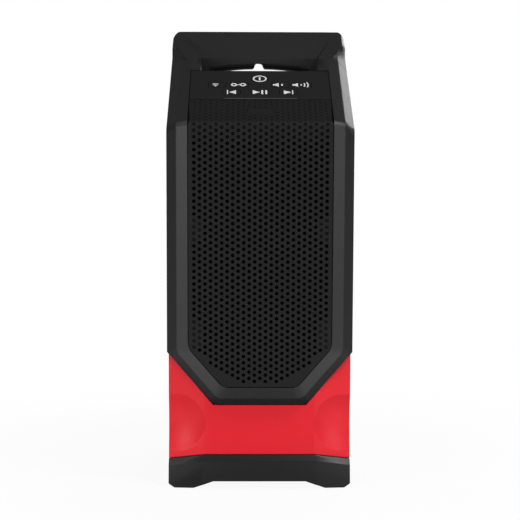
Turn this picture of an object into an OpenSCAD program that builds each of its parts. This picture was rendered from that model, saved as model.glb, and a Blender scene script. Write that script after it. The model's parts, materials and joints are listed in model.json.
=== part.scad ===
// Jobsite wireless speaker: an upright case with a perforated front, a sloping
// key panel, a handle with a hand well, a red lower shroud and a slide-in battery.
// Front faces -Y, +X is to the right seen from the front, +Z is up. Millimetres.

/* [Case] */
// Width over the black side walls
body_w = 104; // [100:1:116]
// Depth from the bezel face to the rear wall
body_d = 108; // [104:1:120]
// Height at which the front turns into the sloping top
front_h = 206.6; // [204:0.2:216]
// Slope of the top, rising to the back, in degrees
top_slope = 26; // [24:0.5:29]
// Thickness of the moulded walls
wall = 2.6; // [2.2:0.1:3]
// Depth of the front shell, from the bezel face to the seam
front_shell_d = 74; // [70:1:78]
// Chamfer on the upright rear edges
rear_chamfer = 6; // [3:0.5:7]
// Distance from the rear wall to the highest line of the handle
crest_back = 0.5; // [0.3:0.1:2]
// Chamfer behind the highest line of the handle
crest_chamfer = 2.6; // [2:0.2:6]
// Rounding of the handle's outer edges
handle_round = 3.5; // [2.5:0.5:6]
// Play between pieces that fit into each other
fit = 0.25; // [0.15:0.05:0.35]

/* [Bezel and grille] */
// Width of the window that the grille fills
grille_w = 80; // [76:1:84]
// Height of the window's lower side corners
corner_h = 81; // [78:0.5:86]
// Height of the window's bottom edge
bottom_h = 58.8; // [56:0.2:62]
// Length of the window's bottom edge
bottom_w = 41.8; // [36:0.2:48]
// Width of the shallow bevel round the window
bevel_w = 6.5; // [5.5:0.1:7.5]
// Depth of the shallow bevel
bevel_d = 2; // [1.5:0.1:2.6]
// Width of the steep facet outside the bevel, along the lower rim
facet_w = 4.7; // [4:0.1:5.4]
// Depth of the steep facet, along the lower rim
facet_d = 5; // [4.4:0.1:5.6]
// How far the lower rim runs back into the case
rim_d = 14; // [13.5:0.1:15]
// Depth of the grille face behind the bezel face
grille_recess = 0.6; // [0.4:0.1:0.8]
// Thickness of the grille plate
grille_t = 2; // [1.6:0.1:2.4]
// Diameter of a grille hole
hole_d = 2; // [1.6:0.1:2.3]
// Upright distance between grille holes in a column
hole_pitch = 3.53; // [3.4:0.01:3.8]
// Distance between two columns of grille holes
col_pitch = 3.05; // [2.95:0.01:3.3]
// Height of the lowest row of grille holes
hole_low_h = 62.25; // [62:0.05:65]
// Rows without through holes below the bend, as a length
blind_band = 11.2; // [10:0.2:14]
// Height of the upper pair of grille posts
post_high_h = 147; // [145:0.5:149]
// Height of the lower pair of grille posts
post_low_h = 89; // [87.5:0.5:91]
// Distance of a grille post from the middle
post_x = 35; // [34.4:0.1:36]
// Width of the status window
lens_w = 14.4; // [10:0.2:18]
// Length of the status window along the slope
lens_l = 5.3; // [4:0.1:7]
// Distance of the status window from the bend
lens_v = 14.6; // [11:0.1:18]

/* [Keys] */
// Front edge of the control plate, along the slope
panel_v0 = 28; // [26.5:0.1:29]
// Rear edge of the control plate, along the slope
panel_v1 = 64.2; // [62.5:0.1:65.5]
// Thickness of the control plate
plate_t = 2.5; // [2.2:0.1:2.8]
// Depth of the control plate under the slope
plate_recess = 0.3; // [0.2:0.05:0.5]
// Width of a flat key
key_w = 10; // [8:0.1:10.6]
// Length of a flat key
key_l = 6.6; // [5.4:0.1:6.8]
// Corner radius of a flat key
key_r = 1.6; // [1:0.1:2.4]
// Diameter of the power key
power_d = 9.2; // [8:0.1:9.6]
// Travel of a key
key_travel = 0.7; // [0.5:0.05:0.9]
// Position of the power key along the slope
power_v = 53.5; // [53:0.1:53.9]
// Position of the upper row of keys along the slope
row_high_v = 45.7; // [45.5:0.1:45.9]
// Position of the lower row of keys along the slope
row_low_v = 36.3; // [36:0.1:36.4]
// Distance of the inner keys of the upper row from the middle
inner_key_x = 11.6; // [11.4:0.1:11.8]
// Distance of the outer keys of the upper row from the middle
outer_key_x = 24.4; // [24.2:0.1:24.6]
// Distance of the outer keys of the lower row from the middle
low_key_x = 16.1; // [15:0.1:17]

/* [Hand well and handle] */
// Width of the hand well
well_w = 68.4; // [66:0.2:69.6]
// Width of the gap under the bar
bar_gap_w = 60; // [56:0.5:64]
// Height of the floor of the hand well
well_floor = 208; // [206.5:0.5:212]
// Depth of the handle bar at its foot
bar_d = 20; // [17:0.5:22]
// Height of the middle of the bar's underside
bar_low = 235.5; // [233:0.1:237]
// Height of the lower edge of the bar's slanting front face
bar_face_h = 242; // [240.5:0.1:243]
// Slant of the bar's front face, in degrees from level
bar_face_a = 45; // [43:1:50]
// Slant of the well's side faces, in degrees from level
side_face_a = 53; // [50:1:58]
// Arch radius of the bar's underside
bar_arch_r = 167; // [150:1:220]
// Rounding of the bar's lower front edge
bar_round = 4; // [2:0.5:5]
// Half width of the hang notch's round end
notch_r = 2.65; // [2.2:0.05:3]
// How much the hang notch widens on each side towards its mouth
notch_flare = 2.4; // [1:0.1:3]

/* [Lower shroud] */
// Step from the base's sides in to the shroud's
shroud_step = 0.1; // [0.05:0.05:0.5]
// Distance from the middle to the shroud's front corners facets
knee_x = 31; // [28:0.5:33]
// How far the corner facets fall back at the sides
corner_back = 4; // [2.5:0.5:5]
// Radius of the scoop's sphere
scoop_r = 38; // [34:1:46]
// Depth of the scoop under the corner facet
scoop_d = 4; // [3:0.2:5]
// Height of the scoop's middle
scoop_h = 37; // [36:0.5:40]
// Distance of the scoop's middle from the shroud's side
scoop_in = 4.5; // [2:0.5:6]

/* [Base] */
// Step from the case's sides in to the base's
base_in = 0.7; // [0.4:0.1:1.6]
// Front of the base behind the bezel face
base_front = 4; // [3:0.5:5]
// Top of the base at the middle of its front
base_h = 15.9; // [15:0.1:17]
// Drop of that edge towards the corners
base_drop = 3.1; // [2:0.1:3.6]
// Rise of the ledge from the base's front edge to the shroud
ledge_rise = 3.3; // [2.6:0.1:3.8]
// Height of the arch under the base
arch_h = 4; // [3.5:0.1:5]
// Length of the arch's level part
arch_w = 52; // [46:1:56]
// Width of the arch at the floor
arch_foot_w = 75; // [70:1:77]
// Height of a foot pad under the base
pad_out = 0.4; // [0.3:0.1:0.8]
// Radius of a foot pad
pad_r = 5; // [4:0.1:5.2]

/* [Driver and radiator] */
// Height of the driver's axis
driver_h = 176; // [175.5:0.1:176.5]
// Height of the passive radiator's axis
radiator_h = 118; // [117.5:0.1:118.4]
// Side of the square mounting flange
flange_w = 57; // [55:0.2:57.2]
// Radius of the cone's outer edge
cone_r = 21.2; // [20:0.1:21.4]
// Radius of the voice coil
coil_r = 9.8; // [9.4:0.1:10.2]
// Radius of the magnet ring
magnet_r = 22; // [19.5:0.5:22.5]
// Thickness of the magnet ring
magnet_t = 8; // [6:0.5:9]
// Distance from the bezel face to the baffle
baffle_depth = 9.5; // [9.2:0.1:9.8]
// Thickness of the baffle
baffle_t = 3; // [2.5:0.1:3.4]
// Stroke of the cones each way
cone_stroke = 1.2; // [0.8:0.1:1.3]

/* [Electronics] */
// Width of the main board
board_w = 70; // [66:1:72]
// Height of the main board
board_h = 62; // [58:1:64]
// Height of the main board's middle
board_mid_h = 145; // [143:0.5:148]
// Thickness of both boards
board_t = 1.6; // [1.2:0.1:2]
// Height of the charge port
port_h = 121; // [120:0.2:122]
// Width of the port cover
cover_w = 26; // [24:0.5:30]
// Height of the port cover
cover_h = 14; // [12:0.5:15]

/* [Battery] */
// Width of the battery stem
stem_w = 44; // [43:0.5:46]
// Height of the battery stem
stem_h = 40; // [39:0.5:41]
// Height of the battery's middle
battery_mid_h = 46; // [45.5:0.1:46.4]
// Width of the battery's cap
cap_w = 54; // [52:0.5:56]
// Height of the battery's cap
cap_h = 45; // [44:0.5:46]
// Depth of the battery's cap
cap_d = 12.2; // [11:0.2:13]
// Finger space on each side of the cap
finger_gap = 15; // [13:0.5:15.5]
// Length of the battery stem in the bay
stem_l = 63.4; // [62.4:0.2:65]
// Travel of a battery latch
latch_travel = 1.5; // [1:0.1:1.8]

/* [Screws] */
// Radius of a large screw's shank
screw_r = 1.5; // [1.3:0.05:1.7]
// Radius of a small screw's shank
small_screw_r = 1.1; // [0.9:0.05:1.2]
// Radial play round a screw's shank
screw_fit = 0.08; // [0.06:0.01:0.1]
// Height of the lower housing screws
housing_low_h = 100; // [98:0.5:104]
// Height of the upper housing screws
housing_high_h = 192; // [188:0.5:194]

/* [Hidden] */

$fn = 64;
BIG = 300;
yf = -body_d / 2;
yr = body_d / 2;
y_seam = yf + front_shell_d;
gw = grille_w / 2;
side_rim = body_w / 2 - gw;
low_rim = bevel_w + facet_w;
land = 0.3;
// the slope's rim lies this much further out and the slanting rim this much deeper,
// so that no four faces meet in one point
jog = 0.1;
bevel_a = atan2(bevel_d, bevel_w - land);
facet_a = atan2(facet_d, facet_w);
diag_a = atan2(-(gw - bottom_w / 2), corner_h - bottom_h);
diag_c = gw * cos(diag_a) + corner_h * sin(diag_a);
function diag_z(x, off) = (diag_c + off - x * cos(diag_a)) / sin(diag_a);
function diag_x(z, off) = (diag_c + off - z * sin(diag_a)) / cos(diag_a);
z_side = diag_z(body_w / 2, low_rim);
top_h = front_h + (body_d - crest_back) * tan(top_slope);

// shroud and base in plan
bw = body_w / 2 - base_in;
sw = bw - shroud_step;
y_shroud = yf + bevel_d + facet_d;
corner_a = atan2(corner_back, sw - knee_x);
y_base_front = yf + base_front;
y_base_rear = yr;
base_top = base_h + ledge_rise;
base_low_top = base_h - base_drop + ledge_rise;

// grille hole columns
col_count = floor((gw - hole_d) / col_pitch);
row_count = ceil((front_h - hole_low_h) / hole_pitch);

lens_fit = 0.15;

// well and bar
well_x = well_w / 2;
bar_gap_x = bar_gap_w / 2;
bar_y = yr - bar_d;
notch_z = bar_low + 1;

// stack of the driver, from the baffle's front face
gasket_t = 0.8;
flange_t = 2.2;
flange_z = -gasket_t - flange_t;
screw_at = flange_w / 2 - 4.8;
roll_in = cone_r + 0.3;
roll_r = 1.5;
ring_out = roll_in + 2 * roll_r + 2;
frame_in = roll_in + 2 * roll_r + 0.1;
basket_r = frame_in + 1.2;
hole_r = basket_r + 0.4;
basket_l = 20;
plate_z = basket_l;
magnet_z = plate_z + 3;
yoke_z = magnet_z + magnet_t;
neck_z = 6.2;

// key panel stack, as depth under the slope
plate_low = plate_recess + plate_t;
lip_top = plate_low + 0.1;
lip_low = lip_top + 1;
switch_top = 5.6;
switch_h = 3.4;
pad_top = switch_top + switch_h;
pad_low = pad_top + board_t;
stem_tip = switch_top + 0.4;
plate_post_x = gw - 8;
plate_post_v0 = panel_v0 + 5;
plate_post_v1 = panel_v1 - 5.5;

// main board
y_board = yr - wall - 6;
y_board_front = y_board - board_t;
post_bx = board_w / 2 - 4;
post_bz = board_h / 2 - 4;

// battery
cap_face = 0.4;
y_cap = yr - cap_face - cap_d;
y_pocket = y_cap - 0.4;
y_stem = y_cap - stem_l;
bay_fit = 0.5;
bay_wall = 2;
y_bay_end = y_stem - 4.5;
pocket_x = cap_w / 2 + finger_gap;
pocket_z = cap_h / 2 + 1.2;
cell_r = 9.1;
cell_l = 65;
latch_l = 9;
latch_h = 20;
latch_out = 1.2;
latch_t = 2.8;
y_latch = y_cap + cap_d / 2;

housing_x = body_w / 2 - 9.5;
// the baffle's pillars stand beside the window, or midway to the side wall where that is near
pillar_off = 5;
baffle_fit = 0.3;
baffle_x = min(gw + pillar_off, (gw + body_w / 2 - wall) / 2);
pillar_hs = [post_low_h + 6, post_high_h, housing_high_h];
housing_hs = [housing_low_h, housing_high_h];
post_hs = [post_low_h, post_high_h];
small_head_r = 2.1;
small_head_h = 1.5;
base_screw_x = sw - 7.4;
pad_x = arch_foot_w / 4 + bw / 2 - 1.6;
pad_ys = [y_base_front + 8, y_base_rear - 8];
base_screw_y0 = y_shroud + 17;
base_screw_y1 = y_pocket - wall - 7.4;
base_head_z = pad_out + arch_h + 1.4;
base_head_h = 2.4;
base_boss_top = base_top + 15;

// half width inside the case at a depth behind the bezel face: to the side wall or the steep facet
function inner_half(d) = min(body_w / 2 - wall,
  gw + bevel_w + (d - bevel_d) / tan(facet_a) - wall / sin(facet_a));

// YZ point at a depth under the slope, and the point at that depth where the front bends
function slope_point(d, v) = [yf + v * cos(top_slope) + d * sin(top_slope),
  front_h + v * sin(top_slope) - d * cos(top_slope)];
function bend_point(d) = slope_point(d, d * (1 - sin(top_slope)) / cos(top_slope));

// frames: local x is right, local y is the depth under the face
module on_front() { translate([0, yf, 0]) children(); }
module on_slope() { translate([0, yf, front_h]) rotate([top_slope - 90, 0, 0]) children(); }
module at_axis(h) { translate([0, yf + baffle_depth, h]) rotate([-90, 0, 0]) children(); }
module behind(depth) { translate([-BIG, depth, -BIG]) cube(2 * BIG); }
module plate_xz(depth, t) { translate([0, depth + t, 0]) rotate([90, 0, 0]) linear_extrude(t) children(); }
// a YZ outline stretched across the case
module across(half) { translate([-half, 0, 0]) rotate([90, 0, 90]) linear_extrude(2 * half) children(); }
module both_sides() { children(); mirror([1, 0, 0]) children(); }
module box(x0, x1, y0, y1, z0, z1) { translate([x0, y0, z0]) cube([x1 - x0, y1 - y0, z1 - z0]); }
module rod_y(x, z, r, y0, y1) { translate([x, y0, z]) rotate([-90, 0, 0]) cylinder(r = r, h = y1 - y0); }
module ring_y(r_out, r_in, z0, z1) {
  difference() {
    translate([0, 0, z0]) cylinder(r = r_out, h = z1 - z0);
    translate([0, 0, z0 - 1]) cylinder(r = r_in, h = z1 - z0 + 2);
  }
}
module rounded(w, h, r) {
  square([w - 2 * r, h], center = true);
  square([w, h - 2 * r], center = true);
  for (sx = [-1, 1], sy = [-1, 1]) translate([sx * (w / 2 - r), sy * (h / 2 - r)]) circle(r);
}
// round lead along a smooth curve through the points
function unit(v) = v / norm(v);
function curve_point(p0, p1, p2, p3, t) = 0.5 * (2 * p1 + (p2 - p0) * t
  + (2 * p0 - 5 * p1 + 4 * p2 - p3) * t * t + (3 * p1 - p0 - 3 * p2 + p3) * t * t * t);
function curve(p, n) = concat([for (k = [0 : len(p) - 2], j = [0 : n - 1])
  curve_point(p[max(k - 1, 0)], p[k], p[k + 1], p[min(k + 2, len(p) - 1)], j / n)], [p[len(p) - 1]]);
module lead(points, r) {
  sides = 8;
  c = curve(points, 4);
  m = len(c);
  rings = [for (k = [0 : m - 1])
    let (t = unit(c[min(k + 1, m - 1)] - c[max(k - 1, 0)]), u = unit(cross(t, [1, 0.13, 0.07])),
      v = cross(t, u))
    for (a = [0 : sides - 1]) c[k] + r * (cos(a * 360 / sides) * u + sin(a * 360 / sides) * v)];
  walls = [for (k = [0 : m - 2], a = [0 : sides - 1], h = [0, 1])
    let (i0 = k * sides + a, i1 = k * sides + (a + 1) % sides, j0 = i0 + sides, j1 = i1 + sides)
    h == 0 ? [i0, j0, i1] : [i1, j0, j1]];
  caps = [[for (a = [0 : sides - 1]) a], [for (a = [0 : sides - 1]) m * sides - 1 - a]];
  polyhedron(points = rings, faces = concat(walls, caps), convexity = 6);
}

// outline of the window, grown by side and low
function outline(side, low, top) = [
  [-side, top], [-side, diag_z(side, low)], [-diag_x(bottom_h - low, low), bottom_h - low],
  [diag_x(bottom_h - low, low), bottom_h - low], [side, diag_z(side, low)], [side, top]];

// one edge of the bezel: bevel, facet and wall, all moved in by i
module rim_planes(x, z, a, rim, i) {
  translate([x, 0, z]) rotate([0, -a, 0]) intersection() {
    translate([land, 0, 0]) rotate([0, 0, bevel_a]) behind(i);
    translate([bevel_w, bevel_d, 0]) rotate([0, 0, facet_a]) behind(i);
    translate([rim - i - 2 * BIG, -BIG, -BIG]) cube(2 * BIG);
  }
}
module plan_block(half, i, top) {
  k = i * (sqrt(2) - 1);
  linear_extrude(top) polygon([
    [-half + i, yf - 5], [half - i, yf - 5], [half - i, yr - rear_chamfer - k],
    [half - rear_chamfer - k, yr - i], [-half + rear_chamfer + k, yr - i],
    [-half + i, yr - rear_chamfer - k]]);
}
module case_block(i) {
  intersection() {
    on_front() behind(i);
    on_front() rim_planes(gw, 0, 0, side_rim, i);
    on_front() rim_planes(-gw, 0, 180, side_rim, i);
    on_slope() behind(i);
    on_slope() rim_planes(gw + jog, 0, 0, side_rim - jog, i);
    on_slope() rim_planes(-gw - jog, 0, 180, side_rim - jog, i);
    plan_block(body_w / 2, i, top_h - i);
    translate([0, yr, top_h - crest_chamfer]) rotate([-135, 0, 0]) behind(i);
  }
}
// fuller rear corners of the top, behind a slanting step
module handle_block() {
  half = body_w / 2;
  r = handle_round;
  y_step = bar_y - 22.5;
  intersection() {
    on_slope() translate([0, 0.05, 0]) linear_extrude(BIG) {
      translate([-half + r, 0]) square([2 * (half - r), 60]);
      translate([-half, r]) square([2 * half, 60]);
      for (sx = [-1, 1]) translate([sx * (half - r), r]) circle(r);
    }
    plan_block(half, 0, top_h);
    translate([0, yr, top_h - crest_chamfer]) rotate([-135, 0, 0]) behind(0);
    translate([0, 0, z_side]) linear_extrude(BIG) polygon([[-half, y_step + 2.1 * side_rim],
      [-gw + 4, y_step - 8.4], [gw - 4, y_step - 8.4], [half, y_step + 2.1 * side_rim], [half, yr],
        [-half, yr]]);
  }
}
// what stays of the case above the lower rim, moved in by i
module rim_region(i) {
  intersection() {
    on_front() translate([0, jog, 0]) rim_planes(gw, corner_h, diag_a, low_rim, i);
    on_front() translate([0, jog, 0]) rim_planes(-gw, corner_h, 180 - diag_a, low_rim, i);
    on_front() rim_planes(0, bottom_h, -90, low_rim, i);
    box(-BIG, BIG, yf - 5, yf + rim_d, 0, BIG);
  }
}

// the space for the hand, and the walls round it
module above_plane(i) { translate([-2 * BIG, -2 * BIG, -i]) cube(4 * BIG); }
module funnel(i) {
  side_h = bar_face_h - 0.5;
  intersection() {
    on_slope() translate([-BIG, -BIG, panel_v1 - i]) cube(2 * BIG);
    translate([0, bar_y, bar_face_h]) rotate([bar_face_a, 0, 0]) above_plane(i);
    translate([well_x, 0, side_h]) rotate([0, -side_face_a, 0]) above_plane(i);
    translate([-well_x, 0, side_h]) rotate([0, side_face_a, 0]) above_plane(i);
    box(-BIG, BIG, -BIG, BIG, side_h - i, BIG);
  }
}
module hand_space() {
  funnel(0);
  intersection() {
    on_slope() translate([-BIG, -BIG, panel_v1]) cube(2 * BIG);
    box(-well_x, well_x, -BIG, bar_y, well_floor, BIG);
  }
  intersection() {
    box(-bar_gap_x, bar_gap_x, bar_y - 1, BIG, well_floor, BIG);
    translate([0, bar_y, bar_low - bar_arch_r]) rotate([-90, 0, 0]) rotate_extrude($fn = 128) {
      translate([0, -1]) square([bar_arch_r, BIG]);
      difference() {
        translate([bar_arch_r - 1, -1]) square([1 + bar_round, 1 + bar_round]);
        translate([bar_arch_r + bar_round, bar_round]) circle(bar_round);
      }
    }
  }
  plate_xz(bar_y - 1, bar_d + 2) polygon([
    [-notch_r, notch_z], [notch_r, notch_z],
    [notch_r + notch_flare, notch_z - 3], [-notch_r - notch_flare, notch_z - 3]]);
  rod_y(0, notch_z, notch_r, bar_y - 1, yr + 1);
}
module hand_walls() {
  funnel(wall);
  intersection() {
    on_slope() translate([-BIG, -BIG, panel_v1 - wall]) cube(2 * BIG);
    box(-well_x - wall, well_x + wall, -BIG, BIG, well_floor - wall, BIG);
  }
}
// the window for the grille and the control plate
module front_window() {
  low = plate_low + 0.2;
  v_top = panel_v1 + jog;
  v_end = panel_v1 - wall - 0.6;
  intersection() {
    across(gw) polygon([[yf - 2, 0], bend_point(-2), slope_point(-2, v_top), slope_point(low, v_top),
      slope_point(low, v_end), slope_point(9, v_end), bend_point(9), [yf + 9, 0]]);
    on_front() plate_xz(-3, 200) polygon(outline(gw + 60, 0, 2 * BIG));
  }
}
module screw_boss_y(x, z, r, y0, y1) {
  rod_y(x, z, r, y0, y1);
  box(x, body_w / 2 - 1, y0, min(y1, yr - rear_chamfer - 2), z - 1.5, z + 1.5);
}

module front_shell() {
  color("#262627") difference() {
    union() {
      difference() {
        intersection() {
          union() {
            case_block(0);
            handle_block();
          }
          union() {
            rim_region(0);
            box(-BIG, BIG, yf + rim_d - 1, y_seam, z_side, BIG);
          }
        }
        difference() {
          intersection() {
            case_block(wall);
            union() {
              rim_region(wall);
              box(-BIG, BIG, yf + rim_d - 1, BIG, 0, BIG);
            }
          }
          hand_walls();
        }
      }
      // pillars for the baffle screws and the housing screws
      for (z = pillar_hs)
        both_sides() rod_y(baffle_x, z, 3, yf + bevel_d + wall - 0.6, yf + baffle_depth);
      for (z = housing_hs)
        both_sides() screw_boss_y(housing_x, z, 4.2, y_seam - 20, y_seam);
    }
    front_window();
    hand_space();
    for (z = pillar_hs)
      both_sides() rod_y(baffle_x, z, small_screw_r + screw_fit, yf + baffle_depth - 5,
        yf + baffle_depth + 1);
    for (z = housing_hs)
      both_sides() rod_y(housing_x, z, screw_r + screw_fit, y_seam - 16, y_seam + 1);
  }
}

module pocket(i) {
  box(-pocket_x - i, pocket_x + i, y_pocket - i, yr + 5, battery_mid_h - pocket_z - i,
    battery_mid_h + pocket_z + i);
}
module rear_shell() {
  color("#242425") difference() {
    union() {
      difference() {
        union() {
          intersection() {
            union() {
              case_block(0);
              handle_block();
            }
            box(-BIG, BIG, y_seam, BIG, z_side, BIG);
          }
          intersection() {
            plan_block(sw, 0, z_side + 1);
            box(-BIG, BIG, y_seam, BIG, 5, BIG);
          }
        }
        difference() {
          union() {
            intersection() {
              case_block(wall);
              box(-BIG, BIG, y_seam - 1, BIG, z_side, BIG);
            }
            intersection() {
              plan_block(sw, wall, z_side + 2);
              box(-BIG, BIG, y_seam - 1, BIG, 4, BIG);
            }
          }
          hand_walls();
          pocket(wall);
        }
      }
      for (z = housing_hs) both_sides() screw_boss_y(housing_x, z, 4.6, y_seam, yr - wall / 2);
      for (z = [-1, 1]) both_sides() rod_y(post_bx, board_mid_h + z * post_bz, 3, y_board, yr - wall / 2);
      both_sides() translate([base_screw_x, base_screw_y1, 8]) cylinder(r = 4, h = base_boss_top - 8);
      both_sides() box(base_screw_x, sw - 1, base_screw_y1 - 1.5, base_screw_y1 + 1.5, 8, base_boss_top);
    }
    hand_space();
    pocket(0);
    box(-stem_w / 2 - bay_fit, stem_w / 2 + bay_fit, y_pocket - wall - 1, yr,
      battery_mid_h - stem_h / 2 - bay_fit, battery_mid_h + stem_h / 2 + bay_fit);
    box(-cover_w / 2 - fit, cover_w / 2 + fit, yr - 1.4, yr + 1, port_h - cover_h / 2 - fit,
      port_h + cover_h / 2 + fit);
    box(-6, 6, yr - wall - 1, yr, port_h - 3, port_h + 3);
    for (z = housing_hs) both_sides() {
      rod_y(housing_x, z, screw_r + screw_fit, y_seam - 1, yr);
      rod_y(housing_x, z, 3, yr - 9, yr + 1);
    }
    for (z = [-1, 1]) both_sides() rod_y(post_bx, board_mid_h + z * post_bz, small_screw_r + screw_fit,
      y_board - 1, y_board + 5);
    both_sides() translate([base_screw_x, base_screw_y1, 0])
      cylinder(r = screw_r + screw_fit, h = base_boss_top - 1.5);
    base_block();
  }
}

// shroud in plan, moved in by i
module shroud_plan(i) {
  kx = knee_x - i * tan(corner_a / 2);
  cy = y_shroud + corner_back + i * tan((90 - corner_a) / 2);
  polygon([[-kx, y_shroud + i], [kx, y_shroud + i], [sw - i, cy], [sw - i, y_seam],
    [-sw + i, y_seam], [-sw + i, cy]]);
}
module scoops(i) {
  both_sides() translate([sw, y_shroud + corner_back, scoop_h]) rotate([0, 0, corner_a])
    translate([-scoop_in, -(scoop_r - scoop_d), 0]) sphere(r = scoop_r + i, $fn = 96);
}
module lower_shroud() {
  color("#d3202c") difference() {
    union() {
      difference() {
        translate([0, 0, 8]) linear_extrude(z_side - 8) shroud_plan(0);
        difference() {
          translate([0, 0, 7]) linear_extrude(z_side) intersection() {
            shroud_plan(wall);
            translate([-BIG, -BIG]) square([2 * BIG, BIG + y_seam + 1]);
          }
          scoops(wall);
        }
        box(-sw + wall, sw - wall, y_seam - 1, y_seam + 1, 7, z_side + 1);
      }
      both_sides() translate([base_screw_x, base_screw_y0, 8]) cylinder(r = 4, h = base_boss_top - 8);
      both_sides() box(base_screw_x, sw - 1, base_screw_y0 - 1.5, base_screw_y0 + 1.5, 8, base_boss_top);
    }
    scoops(0);
    pod_cut();
    both_sides() translate([base_screw_x, base_screw_y0, 0])
      cylinder(r = screw_r + screw_fit, h = base_boss_top - 1.5);
    base_block();
  }
}
module pod_cut() {
  on_front() plate_xz(-2, rim_d + 2.5) polygon(outline(body_w / 2 + 5, low_rim + 0.15, z_side + 40));
}

module base_block() {
  z0 = pad_out;
  hull() polyhedron(
    points = [
      [-bw + 3.3, y_base_front, z0], [bw - 3.3, y_base_front, z0],
      [bw - 3.3, y_base_rear, z0], [-bw + 3.3, y_base_rear, z0],
      [-bw, y_base_front, z0 + 2.3], [bw, y_base_front, z0 + 2.3],
      [bw, y_base_rear - rear_chamfer, z0 + 2.3], [-bw, y_base_rear - rear_chamfer, z0 + 2.3],
      [-knee_x, y_base_front, base_h], [knee_x, y_base_front, base_h],
      [-bw, y_base_front, base_h - base_drop], [bw, y_base_front, base_h - base_drop],
      [-knee_x, y_shroud, base_top], [knee_x, y_shroud, base_top],
      [-sw, y_shroud + corner_back, base_low_top], [sw, y_shroud + corner_back, base_low_top],
      [bw, y_base_rear - rear_chamfer, base_h - base_drop],
      [-bw, y_base_rear - rear_chamfer, base_h - base_drop],
      [sw, y_base_rear - rear_chamfer, base_low_top], [-sw, y_base_rear - rear_chamfer, base_low_top],
      [knee_x, y_base_rear, base_top], [-knee_x, y_base_rear, base_top],
      [bw - rear_chamfer, y_base_rear, base_low_top], [-bw + rear_chamfer, y_base_rear, base_low_top]],
    faces = [[0, 1, 2], [0, 2, 3], [4, 5, 6], [8, 9, 10], [11, 12, 13], [14, 15, 16], [17, 18, 19],
      [20, 21, 22], [23, 0, 7]]);
}
module base() {
  color("#2b2b2c") difference() {
    base_block();
    box(-base_screw_x + 6, base_screw_x - 6, y_base_front + 8, y_base_rear - 6, pad_out + arch_h + 3.4,
      BIG);
    // arches between the feet
    translate([0, y_base_rear + 5, 0]) rotate([90, 0, 0]) linear_extrude(body_d + 20)
      polygon([[-arch_foot_w / 2, -1], [-arch_foot_w / 2, pad_out], [-arch_w / 2, pad_out + arch_h],
        [arch_w / 2, pad_out + arch_h], [arch_foot_w / 2, pad_out], [arch_foot_w / 2, -1]]);
    translate([-BIG / 2, 0, 0]) rotate([90, 0, 90]) linear_extrude(BIG)
      polygon([[y_base_front + 16, -1], [y_base_front + 16, pad_out], [y_base_front + 26, pad_out + arch_h],
        [y_base_rear - 26, pad_out + arch_h], [y_base_rear - 16, pad_out], [y_base_rear - 16, -1]]);
    both_sides() for (y = [base_screw_y0, base_screw_y1]) {
      translate([base_screw_x, y, -1]) cylinder(r = 3.2, h = base_head_z + base_head_h + 1);
      translate([base_screw_x, y, 0]) cylinder(r = screw_r + screw_fit, h = 40);
    }
    both_sides() for (y = pad_ys)
      translate([pad_x, y, -1]) cylinder(r = pad_r + 0.05, h = pad_out + 2.6);
  }
}
module foot_pads() {
  color("#151516") both_sides() for (y = pad_ys)
    translate([pad_x, y, 0]) cylinder(r = pad_r, h = pad_out + 1.6);
}

// grille: columns of holes, every other column half a pitch up
module grille_holes() {
  for (c = [-col_count : col_count]) {
    odd = abs(c) % 2;
    x = c * col_pitch;
    for (k = [0 : row_count]) {
      z = hole_low_h + (k + (odd == 1 ? 0 : 0.5)) * hole_pitch;
      low = hole_low_h - 0.5 + max(0, abs(c) - 3.2) * hole_pitch * 0.51 + (abs(c) > 9 ? 2 : 0);
      at_post = abs(x) > post_x - 2.6 && (abs(z - post_high_h) < 6.4 || abs(z - post_low_h) < 7.6);
      if (z > low && z < front_h - blind_band && !at_post) translate([x, z]) circle(d = hole_d, $fn = 24);
    }
  }
}
module grille() {
  back = grille_recess + grille_t;
  color("#232324") difference() {
    union() {
      on_front() plate_xz(grille_recess, grille_t) difference() {
        polygon(outline(gw - fit, -fit, front_h - 6));
        grille_holes();
      }
      across(gw - fit) polygon([[yf + grille_recess, front_h - 6], bend_point(grille_recess),
        slope_point(grille_recess, panel_v0 - fit), slope_point(back, panel_v0 - fit),
        bend_point(back), [yf + back, front_h - 6]]);
      both_sides() for (z = post_hs)
        rod_y(post_x, z, 2.6, yf + grille_recess + grille_t - 0.2, yf + baffle_depth);
    }
    both_sides() for (z = post_hs)
      rod_y(post_x, z, small_screw_r + screw_fit, yf + grille_recess + grille_t + 1, yf + baffle_depth + 1);
    on_slope() box(-lens_w / 2 - lens_fit, lens_w / 2 + lens_fit, -2, 5,
      lens_v - lens_l / 2 - lens_fit, lens_v + lens_l / 2 + lens_fit);
  }
}
module grille_cloth() {
  color("#0d0d0e") on_front() plate_xz(grille_recess + grille_t, 0.4) difference() {
    polygon(outline(gw - 1.5, -1.5, front_h - blind_band + 4));
    for (sx = [-1, 1], z = post_hs) translate([sx * post_x, z]) circle(3);
  }
}
module status_lens() {
  color("#1b1b1d") on_slope() box(-lens_w / 2, lens_w / 2, grille_recess, grille_recess + grille_t,
    lens_v - lens_l / 2, lens_v + lens_l / 2);
}

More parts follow.
